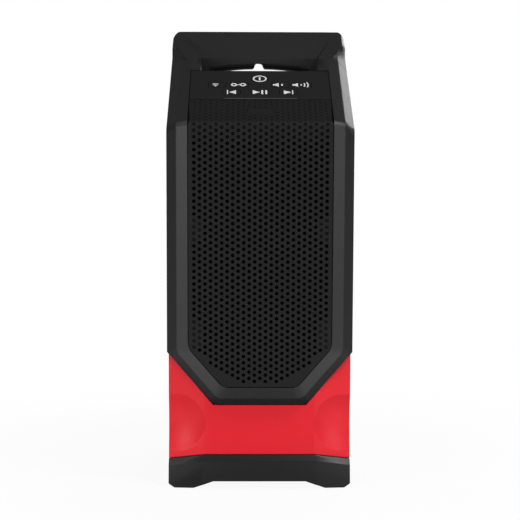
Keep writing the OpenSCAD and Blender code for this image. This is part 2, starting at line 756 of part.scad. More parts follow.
// keys: the outline grown by g, at its place on the slope
module flat_key(x, v, g) { translate([x, v]) rounded(key_w + 2 * g, key_l + 2 * g, key_r + g); }
module power_outline(g) { translate([0, power_v]) circle(d = power_d + 2 * g); }
key_places = [[-outer_key_x, row_high_v], [-inner_key_x, row_high_v], [inner_key_x, row_high_v],
  [outer_key_x, row_high_v], [-low_key_x, row_low_v], [0, row_low_v], [low_key_x, row_low_v]];
module key_stem(x, v) { on_slope() rod_y(x, v, 1.5, lip_low - 0.2, stem_tip); }
module key_body(k) {
  p = key_places[k];
  color("#222223") union() {
    on_slope() plate_xz(plate_recess, plate_t + 0.2) flat_key(p[0], p[1], 0);
    on_slope() plate_xz(lip_top, lip_low - lip_top) flat_key(p[0], p[1], 0.8);
    key_stem(p[0], p[1]);
  }
}
module key_power() {
  color("#222223") union() {
    on_slope() plate_xz(plate_recess, plate_t + 0.2) power_outline(0);
    on_slope() plate_xz(lip_top, lip_low - lip_top) power_outline(0.8);
    key_stem(0, power_v);
  }
}
module key_wireless() { key_body(0); }
module key_link() { key_body(1); }
module key_volume_down() { key_body(2); }
module key_volume_up() { key_body(3); }
module key_previous() { key_body(4); }
module key_play_pause() { key_body(5); }
module key_next() { key_body(6); }

module control_plate() {
  color("#202021") difference() {
    union() {
      on_slope() plate_xz(plate_recess, plate_t) difference() {
        translate([-gw + fit, panel_v0]) square([2 * (gw - fit), panel_v1 - panel_v0 - fit]);
        power_outline(fit);
        for (p = key_places) flat_key(p[0], p[1], fit);
      }
      both_sides() on_slope() box(gw - fit - 2, gw - fit, plate_low - 0.2, wall + 2.6, panel_v0 + 1,
        panel_v1 - wall - 1.5);
      both_sides() on_slope() box(gw - fit - 2, gw + 3, wall + 1.4, wall + 2.6, panel_v0 + 1,
        panel_v1 - wall - 1.5);
      both_sides() on_slope() for (v = [plate_post_v0, plate_post_v1])
        rod_y(plate_post_x, v, 2.5, plate_low - 0.2, pad_top);
    }
    both_sides() on_slope() for (v = [plate_post_v0, plate_post_v1])
      rod_y(plate_post_x, v, small_screw_r + screw_fit, plate_low + 0.6, pad_top + 1);
  }
}
module keypad_board() {
  color("#1e4d33") on_slope() plate_xz(pad_top, board_t) difference() {
    translate([-gw + 4.5, panel_v0 + 1.5]) square([2 * (gw - 4.5), panel_v1 - panel_v0 - wall - 2.5]);
    for (sx = [-1, 1], v = [plate_post_v0, plate_post_v1]) translate([sx * plate_post_x, v])
      circle(small_screw_r + screw_fit);
  }
}
module key_switch(x, v) {
  on_slope() difference() {
    box(x - 3, x + 3, switch_top, pad_top, v - 2.6, v + 2.6);
    rod_y(x, v, 1.9, switch_top - 1, stem_tip + key_travel + 0.4);
  }
}
module key_switches() {
  color("#3a3a3c") {
    key_switch(0, power_v);
    for (p = key_places) key_switch(p[0], p[1]);
  }
}
module keypad_ribbon() {
  // down from the keypad board, back under the well and down to the main board
  v = panel_v0 + 14;
  y0 = yf + v * cos(top_slope) + pad_low * sin(top_slope);
  z0 = front_h + v * sin(top_slope) - pad_low * cos(top_slope);
  zr = well_floor - wall - 5.5;
  color("#c9c6bd") difference() {
    union() {
      box(6, 15, y0 - 0.2, y0 + 0.2, zr, z0 + 1);
      box(6, 15, y0 - 0.2, y_board_front - 1, zr, zr + 0.4);
      box(6, 15, y_board_front - 1.4, y_board_front - 1, board_mid_h + board_h / 2 - 4, zr + 0.4);
      box(5, 16, y_board_front - 2.6, y_board_front, board_mid_h + board_h / 2 - 8,
        board_mid_h + board_h / 2 - 3.8);
    }
    on_slope() translate([-BIG, pad_low - 2 * BIG, -BIG]) cube(2 * BIG);
  }
}
module keypad_screws() {
  color("#8f9194") both_sides() on_slope() for (v = [plate_post_v0, plate_post_v1]) {
    rod_y(plate_post_x, v, small_screw_r, plate_low + 1.2, pad_low + 0.2);
    rod_y(plate_post_x, v, 2, pad_low, pad_low + 1.4);
  }
}

module flange_plate() {
  linear_extrude(flange_t) difference() {
    rounded(flange_w, flange_w, 4);
    circle(frame_in);
    for (sx = [-1, 1], sy = [-1, 1]) translate([sx * screw_at, sy * screw_at])
      circle(small_screw_r + screw_fit);
  }
}
module baffle() {
  side = inner_half(baffle_depth) - baffle_fit;
  low = low_rim - wall - baffle_fit;
  color("#2c2c2e") on_front() plate_xz(baffle_depth, baffle_t) difference() {
    polygon(outline(side, low, front_h - 6));
    for (h = [driver_h, radiator_h]) translate([0, h]) {
      circle(hole_r);
      for (sx = [-1, 1], sy = [-1, 1]) translate([sx * screw_at, sy * screw_at])
        circle(small_screw_r + screw_fit);
    }
    for (sx = [-1, 1]) {
      for (z = post_hs) translate([sx * post_x, z]) circle(small_screw_r + screw_fit);
      for (z = pillar_hs) translate([sx * baffle_x, z]) circle(small_screw_r + screw_fit);
    }
  }
}
module driver_gaskets() {
  color("#19191a") for (h = [driver_h, radiator_h]) at_axis(h)
    ring_y(flange_w / 2 - 0.3, hole_r, -gasket_t, 0);
}
module driver_basket() {
  color("#4b4d50") at_axis(driver_h) {
    difference() {
      union() {
        translate([0, 0, flange_z]) flange_plate();
        rotate_extrude() polygon([[frame_in, flange_z + 0.2], [basket_r, flange_z + 0.2], [basket_r, 1],
          [17.5, basket_l - 2], [17.5, basket_l], [coil_r + 0.9, basket_l], [coil_r + 0.9, basket_l - 1.4],
          [16.2, basket_l - 1.4], [16.2, basket_l - 2.2], [frame_in, 1]]);
      }
      for (a = [0, 90]) rotate([0, 0, a + 45]) translate([-30, -7, 5.5]) cube([60, 14, basket_l - 9]);
    }
  }
}
module surround_roll() {
  rotate_extrude() {
    intersection() {
      translate([roll_in + roll_r, flange_z - 0.6]) difference() {
        circle(roll_r);
        circle(roll_r - 0.5);
      }
      translate([0, flange_z - 5]) square([60, 5]);
    }
    translate([roll_in + 2 * roll_r - 0.5, flange_z - 0.6])
      square([ring_out - roll_in - 2 * roll_r + 0.5, 0.6]);
  }
}
module driver_surround() { color("#1a1a1b") at_axis(driver_h) surround_roll(); }
module driver_spider() {
  // pleated ring round the coil
  color("#a08a52") at_axis(driver_h) rotate_extrude() polygon([
    [coil_r + 0.35, 9.2], [coil_r + 1.5, 9.2], [coil_r + 2.5, 9.9], [coil_r + 3.5, 9.2],
    [coil_r + 4.5, 9.9], [coil_r + 5.5, 9.2], [coil_r + 6.6, 9.2], [coil_r + 6.6, 9.7],
    [coil_r + 5.7, 9.7], [coil_r + 4.5, 10.5],
    [coil_r + 3.5, 9.8], [coil_r + 2.5, 10.5], [coil_r + 1.3, 9.7], [coil_r + 0.35, 9.7]]);
}
module driver_cone() {
  color("#303033") at_axis(driver_h) rotate_extrude() polygon([
    [cone_r, flange_z - 0.5], [cone_r, flange_z + 0.1], [coil_r + 0.1, neck_z],
      [coil_r + 0.1, neck_z - 0.8]]);
}
module dust_cap() {
  cap_r = coil_r + 2.2;
  rim_z = neck_z - 1;
  mid_z = rim_z + sqrt(cap_r * cap_r - coil_r * coil_r);
  color("#1d1d1f") at_axis(driver_h) intersection() {
    difference() {
      translate([0, 0, mid_z]) sphere(cap_r);
      translate([0, 0, mid_z]) sphere(cap_r - 0.5);
    }
    translate([-20, -20, rim_z - 20]) cube([40, 40, 20]);
  }
}
module voice_coil() {
  color("#b2703a") at_axis(driver_h) ring_y(coil_r, coil_r - 0.5, neck_z - 0.9, magnet_z + 1);
}
module driver_top_plate() {
  color("#77797c") at_axis(driver_h) ring_y(magnet_r - 2, coil_r + 0.5, plate_z, magnet_z);
}
module driver_magnet() {
  color("#3c3d40") at_axis(driver_h) ring_y(magnet_r, coil_r + 2, magnet_z, yoke_z);
}
module driver_yoke() {
  color("#77797c") at_axis(driver_h) {
    translate([0, 0, yoke_z]) cylinder(r = magnet_r - 2, h = 3);
    translate([0, 0, plate_z]) cylinder(r = coil_r - 0.9, h = yoke_z - plate_z + 1);
  }
}
module radiator_frame() {
  color("#4b4d50") at_axis(radiator_h) {
    translate([0, 0, flange_z]) flange_plate();
    ring_y(basket_r, frame_in, flange_z + 0.2, 2.5);
  }
}
module radiator_surround() { color("#1a1a1b") at_axis(radiator_h) surround_roll(); }
module radiator_diaphragm() {
  color("#303033") at_axis(radiator_h) translate([0, 0, flange_z - 0.5]) cylinder(r = cone_r, h = 1.4);
}
module radiator_weight() {
  color("#77797c") at_axis(radiator_h) translate([0, 0, flange_z + 0.9]) cylinder(r = 8, h = 5);
}

module main_board() {
  color("#1e4d33") translate([0, 0, board_mid_h]) plate_xz(y_board_front, board_t) difference() {
    square([board_w, board_h], center = true);
    for (sx = [-1, 1], sy = [-1, 1]) translate([sx * post_bx, sy * post_bz])
      circle(small_screw_r + screw_fit);
  }
}
module heat_sink() {
  z = board_mid_h + 4;
  color("#9b9da1") {
    box(-19, 5, y_board_front - 3, y_board_front, z - 14, z + 14);
    for (k = [0 : 5]) box(-19 + k * 4.48, -17.4 + k * 4.48, y_board_front - 13, y_board_front - 2.9,
      z - 14, z + 14);
  }
}
module capacitors() {
  color("#23242a") for (k = [0 : 2]) rod_y(20, board_mid_h - 16 + k * 12, 4.8, y_board_front - 15,
    y_board_front);
}
module radio_module() {
  color("#b9bcbf") box(-25, -9, y_board_front - 2.4, y_board_front, board_mid_h - 26, board_mid_h - 13);
}
module charge_port() {
  color("#b9bcbf") difference() {
    box(-4.7, 4.7, y_board, yr - wall - 0.3, port_h - 1.9, port_h + 1.9);
    box(-4.1, 4.1, y_board + 1, yr, port_h - 1.3, port_h + 1.3);
  }
}
module port_cover() {
  color("#19191a") {
    box(-cover_w / 2, cover_w / 2, yr - 1.3, yr - 0.1, port_h - cover_h / 2, port_h + cover_h / 2);
    box(-5, 5, yr - 0.2, yr, port_h - cover_h / 2 + 0.4, port_h - cover_h / 2 + 2.2);
  }
}

module battery_bay() {
  x = stem_w / 2 + bay_fit;
  z = stem_h / 2 + bay_fit;
  color("#2c2c2e") translate([0, 0, battery_mid_h]) difference() {
    box(-x - bay_wall, x + bay_wall, y_bay_end - bay_wall, y_pocket - wall, -z - bay_wall, z + bay_wall);
    box(-x, x, y_bay_end, y_pocket, -z, z);
    for (k = [-1 : 1]) box(k * 8 - 1, k * 8 + 1, y_bay_end - bay_wall - 1, y_bay_end + 1, -3.5, 3.5);
  }
}
module terminal_block() {
  color("#38383a") translate([0, 0, battery_mid_h]) difference() {
    box(-13, 13, y_bay_end, y_bay_end + 3.5, -6, 6);
    for (k = [-1 : 1]) box(k * 8 - 0.45, k * 8 + 0.45, y_bay_end - 1, y_bay_end + 5, -3.05, 3.05);
  }
}
module terminal_blades() {
  color("#c08a4e") for (k = [-1 : 1])
    box(k * 8 - 0.4, k * 8 + 0.4, y_bay_end - bay_wall - 2, y_stem + 4, battery_mid_h - 3,
      battery_mid_h + 3);
}
module battery_case() {
  color("#1f1f20") translate([0, 0, battery_mid_h]) difference() {
    union() {
      box(-stem_w / 2, stem_w / 2, y_stem, y_cap + 1, -stem_h / 2, stem_h / 2);
      box(-cap_w / 2, cap_w / 2, y_cap, yr - cap_face, -cap_h / 2, cap_h / 2);
    }
    box(-stem_w / 2 + 2, stem_w / 2 - 2, y_stem + 2, yr - cap_face - 3, -stem_h / 2 + 1.6,
      stem_h / 2 - 1.6);
    for (k = [-1 : 1]) box(k * 8 - 0.9, k * 8 + 0.9, y_stem - 1, y_stem + 3, -3.5, 3.5);
    both_sides() box(cap_w / 2 - 4.9, cap_w / 2 + 1, y_latch - latch_l / 2 - 0.3,
      y_latch + latch_l / 2 + 0.3, -latch_h / 2 - 0.3, latch_h / 2 + 0.3);
  }
}
module battery_cells() {
  y0 = y_stem + 5.5;
  rise = (stem_h - 3.2 - 2 * cell_r) / 2;
  color("#5a6f7d") {
    for (sx = [-1, 1]) rod_y(sx * (cell_r + 0.2), battery_mid_h - rise + 0.05, cell_r, y0, y0 + cell_l);
    rod_y(0, battery_mid_h + rise - 0.05, cell_r, y0, y0 + cell_l);
  }
}
module latch_block() {
  x = cap_w / 2 + latch_out;
  translate([0, 0, battery_mid_h])
    box(x - latch_t, x, y_latch - latch_l / 2, y_latch + latch_l / 2, -latch_h / 2, latch_h / 2);
}
module battery_latch_left() { color("#38383a") mirror([1, 0, 0]) latch_block(); }
module battery_latch_right() { color("#38383a") latch_block(); }

// screws along Y: head from y to the side away from the tip
module screw_y(x, z, r, head_r, head_h, y_seat, y_tip) {
  s = y_tip > y_seat ? 1 : -1;
  rod_y(x, z, r, min(y_seat - s * 0.3, y_tip), max(y_seat - s * 0.3, y_tip));
  difference() {
    rod_y(x, z, head_r, min(y_seat, y_seat - s * head_h), max(y_seat, y_seat - s * head_h));
    rod_y(x, z, head_r * 0.42, min(y_seat - s * (head_h + 1), y_seat - s * head_h * 0.4),
      max(y_seat - s * (head_h + 1), y_seat - s * head_h * 0.4));
  }
}
module housing_screws() {
  color("#8f9194") both_sides() for (z = housing_hs)
    screw_y(housing_x, z, screw_r, 2.7, 2.4, yr - 9, y_seam - 14);
}
module baffle_screws() {
  color("#8f9194") both_sides() for (z = pillar_hs)
    screw_y(baffle_x, z, small_screw_r, small_head_r, small_head_h, yf + baffle_depth + baffle_t,
      yf + baffle_depth - 4);
}
module grille_screws() {
  color("#8f9194") both_sides() for (z = post_hs)
    screw_y(post_x, z, small_screw_r, small_head_r, small_head_h, yf + baffle_depth + baffle_t,
      yf + grille_recess + grille_t + 2);
}
module driver_screws() {
  color("#8f9194") for (h = [driver_h, radiator_h], sx = [-1, 1], sz = [-1, 1])
    screw_y(sx * screw_at, h + sz * screw_at, small_screw_r, small_head_r, small_head_h,
      yf + baffle_depth + flange_z, yf + baffle_depth + baffle_t - 0.4);
}
module board_screws() {
  color("#8f9194") both_sides() for (z = [-1, 1])
    screw_y(post_bx, board_mid_h + z * post_bz, small_screw_r, small_head_r, small_head_h,
      y_board_front, y_board + 4);
}
module base_screws() {
  color("#8f9194") both_sides() for (y = [base_screw_y0, base_screw_y1]) translate([base_screw_x, y, 0]) {
    translate([0, 0, base_head_z + base_head_h - 0.3])
      cylinder(r = screw_r, h = base_boss_top - 3 - base_head_z - base_head_h);
    difference() {
      translate([0, 0, base_head_z]) cylinder(r = 2.8, h = base_head_h);
      translate([0, 0, base_head_z - 1]) cylinder(r = 1.2, h = 2.4);
    }
  }
}

// leads, held at both ends
lead_r = 0.8;
lead_gap = 0.3;
// a lead's last stretch is straight, through two points at these distances from the board
lead_near = 6;
lead_far = 12;
module speaker_leads() {
  y0 = yf + baffle_depth + 12;
  color("#a3242a") for (k = [0, 1])
    lead([[21.2, y0, driver_h - 4 - k * 3], [27, y0 + 6, driver_h - 9 - k * 3],
      [29, -5, driver_h - 15 - k * 3],
      for (d = [lead_far, lead_near, lead_gap]) [29, y_board_front - d, driver_h - 18 - k * 3]],
      lead_r);
}
module battery_leads() {
  y0 = y_bay_end - bay_wall - 2.8;
  zb = board_mid_h - board_h / 2;
  color("#a3242a") for (k = [-1, 1])
    lead([[k * 8, y0, battery_mid_h + 2], [k * 8, y0 - 1.5, battery_mid_h + 30],
      [k * 2 - 30, 5, battery_mid_h + 42],
      for (d = [lead_far, lead_near, lead_gap]) [k * 2 - 30, y_board_front - d, zb + 10]], lead_r);
}

front_shell();
rear_shell();
lower_shroud();
base();
foot_pads();
grille();
grille_cloth();
status_lens();
control_plate();
key_power();
key_wireless();
key_link();
key_volume_down();
key_volume_up();
key_previous();
key_play_pause();
key_next();
keypad_board();
key_switches();
keypad_ribbon();
baffle();
driver_basket();
driver_gaskets();
driver_surround();
driver_spider();
driver_cone();
dust_cap();
voice_coil();
driver_top_plate();
driver_magnet();
driver_yoke();
radiator_frame();
radiator_surround();
radiator_diaphragm();
radiator_weight();
main_board();
heat_sink();
capacitors();
radio_module();
charge_port();
port_cover();
battery_bay();
terminal_block();
terminal_blades();
battery_case();
battery_cells();
battery_latch_left();
battery_latch_right();
housing_screws();
base_screws();
baffle_screws();
grille_screws();
driver_screws();
keypad_screws();
board_screws();
speaker_leads();
battery_leads();
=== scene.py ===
"""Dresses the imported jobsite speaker: rounded mouldings, grille, key marks, finishes and stage.

Metres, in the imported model's frame: the front faces -Y, +X is to the right seen from the front, +Z is up.
"""

import json
import math

import bmesh
import bpy
from bpy.props import FloatProperty, FloatVectorProperty, IntProperty, PointerProperty
from mathutils import Matrix, Vector
from mathutils.geometry import delaunay_2d_cdt


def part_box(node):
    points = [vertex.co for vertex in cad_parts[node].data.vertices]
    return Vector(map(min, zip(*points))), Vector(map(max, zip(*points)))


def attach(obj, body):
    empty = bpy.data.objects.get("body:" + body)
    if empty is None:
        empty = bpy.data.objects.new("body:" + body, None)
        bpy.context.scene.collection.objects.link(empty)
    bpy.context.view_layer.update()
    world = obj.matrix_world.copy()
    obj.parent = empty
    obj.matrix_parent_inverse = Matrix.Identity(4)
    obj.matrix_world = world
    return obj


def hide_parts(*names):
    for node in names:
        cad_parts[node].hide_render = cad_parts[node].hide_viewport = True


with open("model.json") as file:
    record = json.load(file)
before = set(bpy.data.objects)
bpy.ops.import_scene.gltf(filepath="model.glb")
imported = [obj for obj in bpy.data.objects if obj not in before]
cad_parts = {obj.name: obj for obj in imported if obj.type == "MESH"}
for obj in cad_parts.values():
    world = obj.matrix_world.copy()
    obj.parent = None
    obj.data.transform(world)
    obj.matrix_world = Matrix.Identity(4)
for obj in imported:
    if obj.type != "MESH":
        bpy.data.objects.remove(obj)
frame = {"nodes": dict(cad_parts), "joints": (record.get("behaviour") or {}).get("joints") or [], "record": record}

bl_info = {
    "name": "Jobsite speaker",
    "version": (1, 0, 0),
    "blender": (4, 5, 0),
    "location": "3D View > Sidebar > Speaker",
    "description": "Dresses the packed jobsite speaker with rounded mouldings, key marks and finishes",
    "category": "Object",
}

MM = 0.001
NODES = frame["nodes"]
JOINTS = {joint["name"]: joint for joint in frame["joints"]}
SLOTS = {row["node"]: row["material_slot"] for row in frame["record"]["subparts"]}
BODY_OF = {node: body for body, nodes in frame["record"]["behaviour"]["bodies"].items() for node in nodes}
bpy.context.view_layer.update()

# the slope that carries the keys: into the case, up the slope and out of it
INWARD = Vector(JOINTS["power_key_press"]["axis"]).normalized()
OUTWARD = -INWARD
UPHILL = Vector((0, -INWARD.z, INWARD.y))
GRILLE_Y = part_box("grille")[0].y
# the stretch of the case's upright middle from which the outside is judged
CORE_LOW = 0.07
CORE_HIGH = 0.19
# lengths of the short edges where two bevels of the bezel meet
MITRE_SHORTEST = 1.5 * MM
MITRE_LONGEST = 12 * MM
# heights on the base: its middle, the top of its feet and the lower edge of its ledge
BASE_MIDDLE = 12 * MM
FOOT_TOP = 4 * MM
LEDGE_LOW = 12.8 * MM
# radius and depth of the rings of a dimple, as shares of its own
DIMPLE_RINGS = ((0.8, 0.7), (0.4, 1.0))
KEYS = ("power", "wireless", "link", "volume_down", "volume_up", "previous", "play_pause", "next")
# place, aim, and width and height of each softbox
SOFTBOXES = {
    "left": ((-0.73, -0.92, 0.36), (0, 0, 0.13), (0.26, 0.7)),
    "right": ((0.76, -0.92, 0.36), (0, 0, 0.13), (0.36, 0.8)),
    "top_left": ((-0.62, -0.46, 1.2), (0, 0, 0.1), (0.3, 0.25)),
    "top_right": ((0.62, -0.46, 1.2), (0, 0, 0.1), (0.3, 0.25)),
    "rear": ((0.45, 1.0, 0.3), (0, 0, 0.13), (0.5, 0.7)),
}
# numbers of a mix node's low input, high input and output
MIX_SOCKETS = {"FLOAT": (2, 3, 0), "RGBA": (6, 7, 2)}


def paint(code):
    """A colour written as on a screen, as the linear values that a shader takes."""
    shares = [int(code[k:k + 2], 16) / 255 for k in (0, 2, 4)]
    return tuple(s / 12.92 if s <= 0.04045 else ((s + 0.055) / 1.055) ** 2.4 for s in shares)


def length(name, millimetres, description):
    return FloatProperty(name=name, description=description, default=millimetres * MM, min=0.0,
                         precision=5, unit="LENGTH")


def colour(name, code, description):
    return FloatVectorProperty(name=name, description=description, default=paint(code), min=0.0, max=1.0,
                               size=3, subtype="COLOR")


def power(name, watts, description):
    return FloatProperty(name=name, description=description, default=watts, min=0.0, unit="POWER")


class SpeakerSizes(bpy.types.PropertyGroup):
    """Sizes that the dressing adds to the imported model."""

    edge_round: length("Edge rounding", 0.5, "Rounding of the mouldings' long edges")
    knee: length("Knee", 31, "Place of the base's folds, from its middle")
    foot_sweep: length("Foot sweep", 1.6, "How far the base's front corners lie back at the feet")
    sweep: length("Sweep", 4.0, "How far the base's front corners lie back at the ledge")
    corner_round: length("Corner rounding", 3.0, "Rounding where two rims of the bezel meet")
    base_round: length("Base rounding", 0.4, "Rounding of the base's edges")
    key_round: length("Key rounding", 0.15, "Rounding of a key's upper edge")
    small_round: length("Small rounding", 0.25, "Rounding of screws, pads, latches and covers")
    hole_pitch: length("Hole pitch", 3.53, "Upright distance between two holes of a grille column")
    column_pitch: length("Column pitch", 3.05, "Distance between two columns of grille holes")
    hole_low: length("Lowest hole", 62.25, "Height of the grille's lowest row of holes")
    hole_top: length("Highest hole", 195.4, "Height above which the grille's holes are blind")
    hole_radius: length("Hole radius", 1.03, "Radius of a grille hole")
    rim_round: length("Hole rim", 0.14, "Chamfer on the rim of a grille hole")
    hole_sides: IntProperty(name="Hole sides", description="Corners of a grille hole", default=14, min=6)
    grille_thick: length("Grille thickness", 2.0, "Thickness of the grille")
    bend_round: length("Bend rounding", 3.0, "Rounding of the grille's bend into the slope")
    post_x: length("Grille post", 35.0, "Distance of the grille's posts from the middle")
    post_high: length("Upper post", 147.0, "Height of the upper posts, which leave the holes blind")
    post_low: length("Lower post", 89.0, "Height of the lower posts, which leave the holes blind")
    dimple_radius: length("Dimple radius", 1.05, "Radius of a blind grille hole")
    dimple_depth: length("Dimple depth", 1.7, "Depth of the deepest blind holes")
    shallow_depth: length("Shallow depth", 1.1, "Depth of a blind grille hole at the bend and the posts")
    slope_widen: length("Slope widening", 0.2, "How much wider the grille is on its slope, each side")
    faint_radius: length("Faint dimple radius", 0.75, "Radius of a dimple on the slope")
    faint_depth: length("Faint dimple depth", 1.2, "Depth of a dimple on the slope")
    lip_width: length("Lip width", 0.5, "Width of the lip on the key plate's front edge")
    lip_height: length("Lip height", 0.3, "Height of that lip")
    lip_half: length("Lip half length", 20.4, "Half the length of that lip")
    mark_height: length("Mark height", 0.05, "Thickness of the printed key marks")
    stroke: length("Mark stroke", 0.9, "Width of the lines of the key marks")


class SpeakerColours(bpy.types.PropertyGroup):
    """Colours of the finishes."""

    case: colour("Case", "1b1b1c", "Black of the case mouldings")
    shroud: colour("Shroud", "dc1c29", "Red of the lower shroud")
    grille: colour("Grille", "161617", "Black of the grille")
    key: colour("Keys", "161617", "Black of the keys and their plate")
    base: colour("Base", "1a1a1b", "Black of the foot frame")
    mark: colour("Marks", "d8d8d6", "Grey white of the key marks")
    rubber: colour("Rubber", "141415", "Black of feet and port cover")


class SpeakerView(bpy.types.PropertyGroup):
    """The camera and the studio."""

    view_from: FloatVectorProperty(name="View from", description="Place of the camera", size=3,
                                   default=(-0.01224, -0.89748, 0.22929), subtype="TRANSLATION")
    turn: FloatProperty(name="Turn", description="Heading of the camera to the right of +Y",
                        default=math.radians(0.8205), subtype="ANGLE")
    tilt: FloatProperty(name="Tilt", description="How far the camera looks down",
                        default=math.radians(6.6795), subtype="ANGLE")
    roll: FloatProperty(name="Roll", description="Roll of the camera about its axis",
                        default=math.radians(0.2021), subtype="ANGLE")
    lens: FloatProperty(name="Lens", description="Focal length for a 36 mm sensor, in millimetres",
                        default=106.615, min=1.0)
    left_power: power("Left lamp", 5.0, "Power of the left softbox")
    right_power: power("Right lamp", 4.0, "Power of the right softbox")
    top_left_power: power("Top left lamp", 1.76, "Power of the softbox above on the left")
    top_right_power: power("Top right lamp", 7.04, "Power of the softbox above on the right")
    rear_power: power("Rear lamp", 6.0, "Power of the softbox behind the speaker")
    ambient: FloatProperty(name="Ambient", description="Strength of the light from all round", default=0.25)
    room: FloatProperty(name="Room", description="Strength of the room seen in reflections", default=0.12)


def sizes():
    return bpy.context.scene.speaker_sizes


def colours():
    return bpy.context.scene.speaker_colours


# Shader helpers

def link(tree, source, target):
    tree.links.new(source, target)


def add_node(tree, kind, **values):
    """A node with its inputs or properties set by name; spaces in an input's name are written as _."""
    node = tree.nodes.new(kind)
    for name, value in values.items():
        socket = node.inputs.get(name.replace("_", " "))
        if socket is not None:
            socket.default_value = value
        else:
            setattr(node, name, value)
    return node


def new_group(name, inputs, outputs):
    """An empty shader group with float inputs and float outputs, and its two end nodes."""
    tree = bpy.data.node_groups.new(name, "ShaderNodeTree")
    for label, default in inputs.items():
        socket = tree.interface.new_socket(label, in_out="INPUT", socket_type="NodeSocketFloat")
        socket.default_value = default
    for label in outputs:
        tree.interface.new_socket(label, in_out="OUTPUT", socket_type="NodeSocketFloat")
    return tree, tree.nodes.new("NodeGroupInput"), tree.nodes.new("NodeGroupOutput")


def grain_group():
    """Fine grain of a moulded or coated surface, and slow patches over it."""
    found = bpy.data.node_groups.get("surface_grain")
    if found:
        return found
    tree, start, end = new_group("surface_grain", {"Grain Scale": 2200.0, "Patch Scale": 45.0},
                                 ("Grain", "Patch"))
    place = tree.nodes.new("ShaderNodeTexCoord")
    for label, detail in (("Grain", 2.0), ("Patch", 4.0)):
        noise = add_node(tree, "ShaderNodeTexNoise", Detail=detail, Roughness=0.6)
        link(tree, place.outputs["Object"], noise.inputs["Vector"])
        link(tree, start.outputs[label + " Scale"], noise.inputs["Scale"])
        link(tree, noise.outputs["Fac"], end.inputs[label])
    return tree


def scuff_group():
    """A mask of sparse fine rubs that run mostly upright."""
    found = bpy.data.node_groups.get("fine_rubs")
    if found:
        return found
    tree, start, end = new_group("fine_rubs", {"Scale": 220.0, "Cover": 0.3}, ("Mask",))
    place = tree.nodes.new("ShaderNodeTexCoord")
    turn = add_node(tree, "ShaderNodeMapping")
    turn.inputs["Rotation"].default_value = (0.3, 0.2, 0.1)
    turn.inputs["Scale"].default_value = (1.0, 1.0, 0.12)
    noise = add_node(tree, "ShaderNodeTexNoise", Detail=3.0, Roughness=0.7)
    edge = add_node(tree, "ShaderNodeMath", operation="SUBTRACT")
    edge.inputs[0].default_value = 0.98
    sharp = add_node(tree, "ShaderNodeMapRange", interpolation_type="SMOOTHSTEP")
    sharp.inputs["To Max"].default_value = 1.0
    top = add_node(tree, "ShaderNodeMath", operation="ADD")
    top.inputs[1].default_value = 0.12
    link(tree, place.outputs["Object"], turn.inputs["Vector"])
    link(tree, turn.outputs["Vector"], noise.inputs["Vector"])
    link(tree, start.outputs["Scale"], noise.inputs["Scale"])
    link(tree, start.outputs["Cover"], edge.inputs[1])
    link(tree, edge.outputs[0], sharp.inputs["From Min"])
    link(tree, edge.outputs[0], top.inputs[0])
    link(tree, top.outputs[0], sharp.inputs["From Max"])
    link(tree, noise.outputs["Fac"], sharp.inputs["Value"])
    link(tree, sharp.outputs["Result"], end.inputs["Mask"])
    return tree


def weave_group():
    """Over and under of a plain cloth in the XZ plane, as a height."""
    found = bpy.data.node_groups.get("plain_weave")
    if found:
        return found
    tree, start, end = new_group("plain_weave", {"Threads": 900.0}, ("Height",))
    place = tree.nodes.new("ShaderNodeTexCoord")
    waves = []
    for axis in ("X", "Z"):
        bands = add_node(tree, "ShaderNodeTexWave", bands_direction=axis, Distortion=0.4)
        link(tree, place.outputs["Object"], bands.inputs["Vector"])
        link(tree, start.outputs["Threads"], bands.inputs["Scale"])
        waves.append(bands)
    both = add_node(tree, "ShaderNodeMath", operation="MULTIPLY")
    for k, bands in enumerate(waves):
        link(tree, bands.outputs["Fac"], both.inputs[k])
    link(tree, both.outputs[0], end.inputs["Height"])
    return tree


def new_material(name, roughness=0.5, metallic=0.0, specular=0.5):
    """An empty material with a Principled shader whose constant sockets are set."""
    material = bpy.data.materials.new(name)
    material.use_nodes = True
    tree = material.node_tree
    shader = tree.nodes["Principled BSDF"]
    shader.inputs["Roughness"].default_value = roughness
    shader.inputs["Metallic"].default_value = metallic
    shader.inputs["Specular IOR Level"].default_value = specular
    return material, tree, shader


def place_group(tree, group, **values):
    node = tree.nodes.new("ShaderNodeGroup")
    node.node_tree = group
    for name, value in values.items():
        node.inputs[name.replace("_", " ")].default_value = value
    return node


def shade(colour_value, share):
    return (*(min(1.0, c * share) for c in colour_value[:3]), 1.0)


def mix(tree, kind, factor, low, high):
    """Mixes two values or colours, each a socket or a constant, and returns the output socket."""
    node = add_node(tree, "ShaderNodeMix", data_type=kind)
    low_number, high_number, out = MIX_SOCKETS[kind]
    link(tree, factor, node.inputs[0])
    for number, value in ((low_number, low), (high_number, high)):
        if isinstance(value, bpy.types.NodeSocket):
            link(tree, value, node.inputs[number])
        else:
            node.inputs[number].default_value = value
    return node.outputs[out]


def spread(tree, value, low, high, start=0.0, stop=1.0, kind="LINEAR"):
    """Maps a value from start..stop to low..high and returns the output socket."""
    node = add_node(tree, "ShaderNodeMapRange", interpolation_type=kind, From_Min=start, From_Max=stop,
                    To_Min=low, To_Max=high)
    link(tree, value, node.inputs["Value"])
    return node.outputs["Result"]


def bump(tree, shader, height, depth):
    node = add_node(tree, "ShaderNodeBump", Strength=1.0, Distance=depth)
    link(tree, height, node.inputs["Height"])
    link(tree, node.outputs["Normal"], shader.inputs["Normal"])


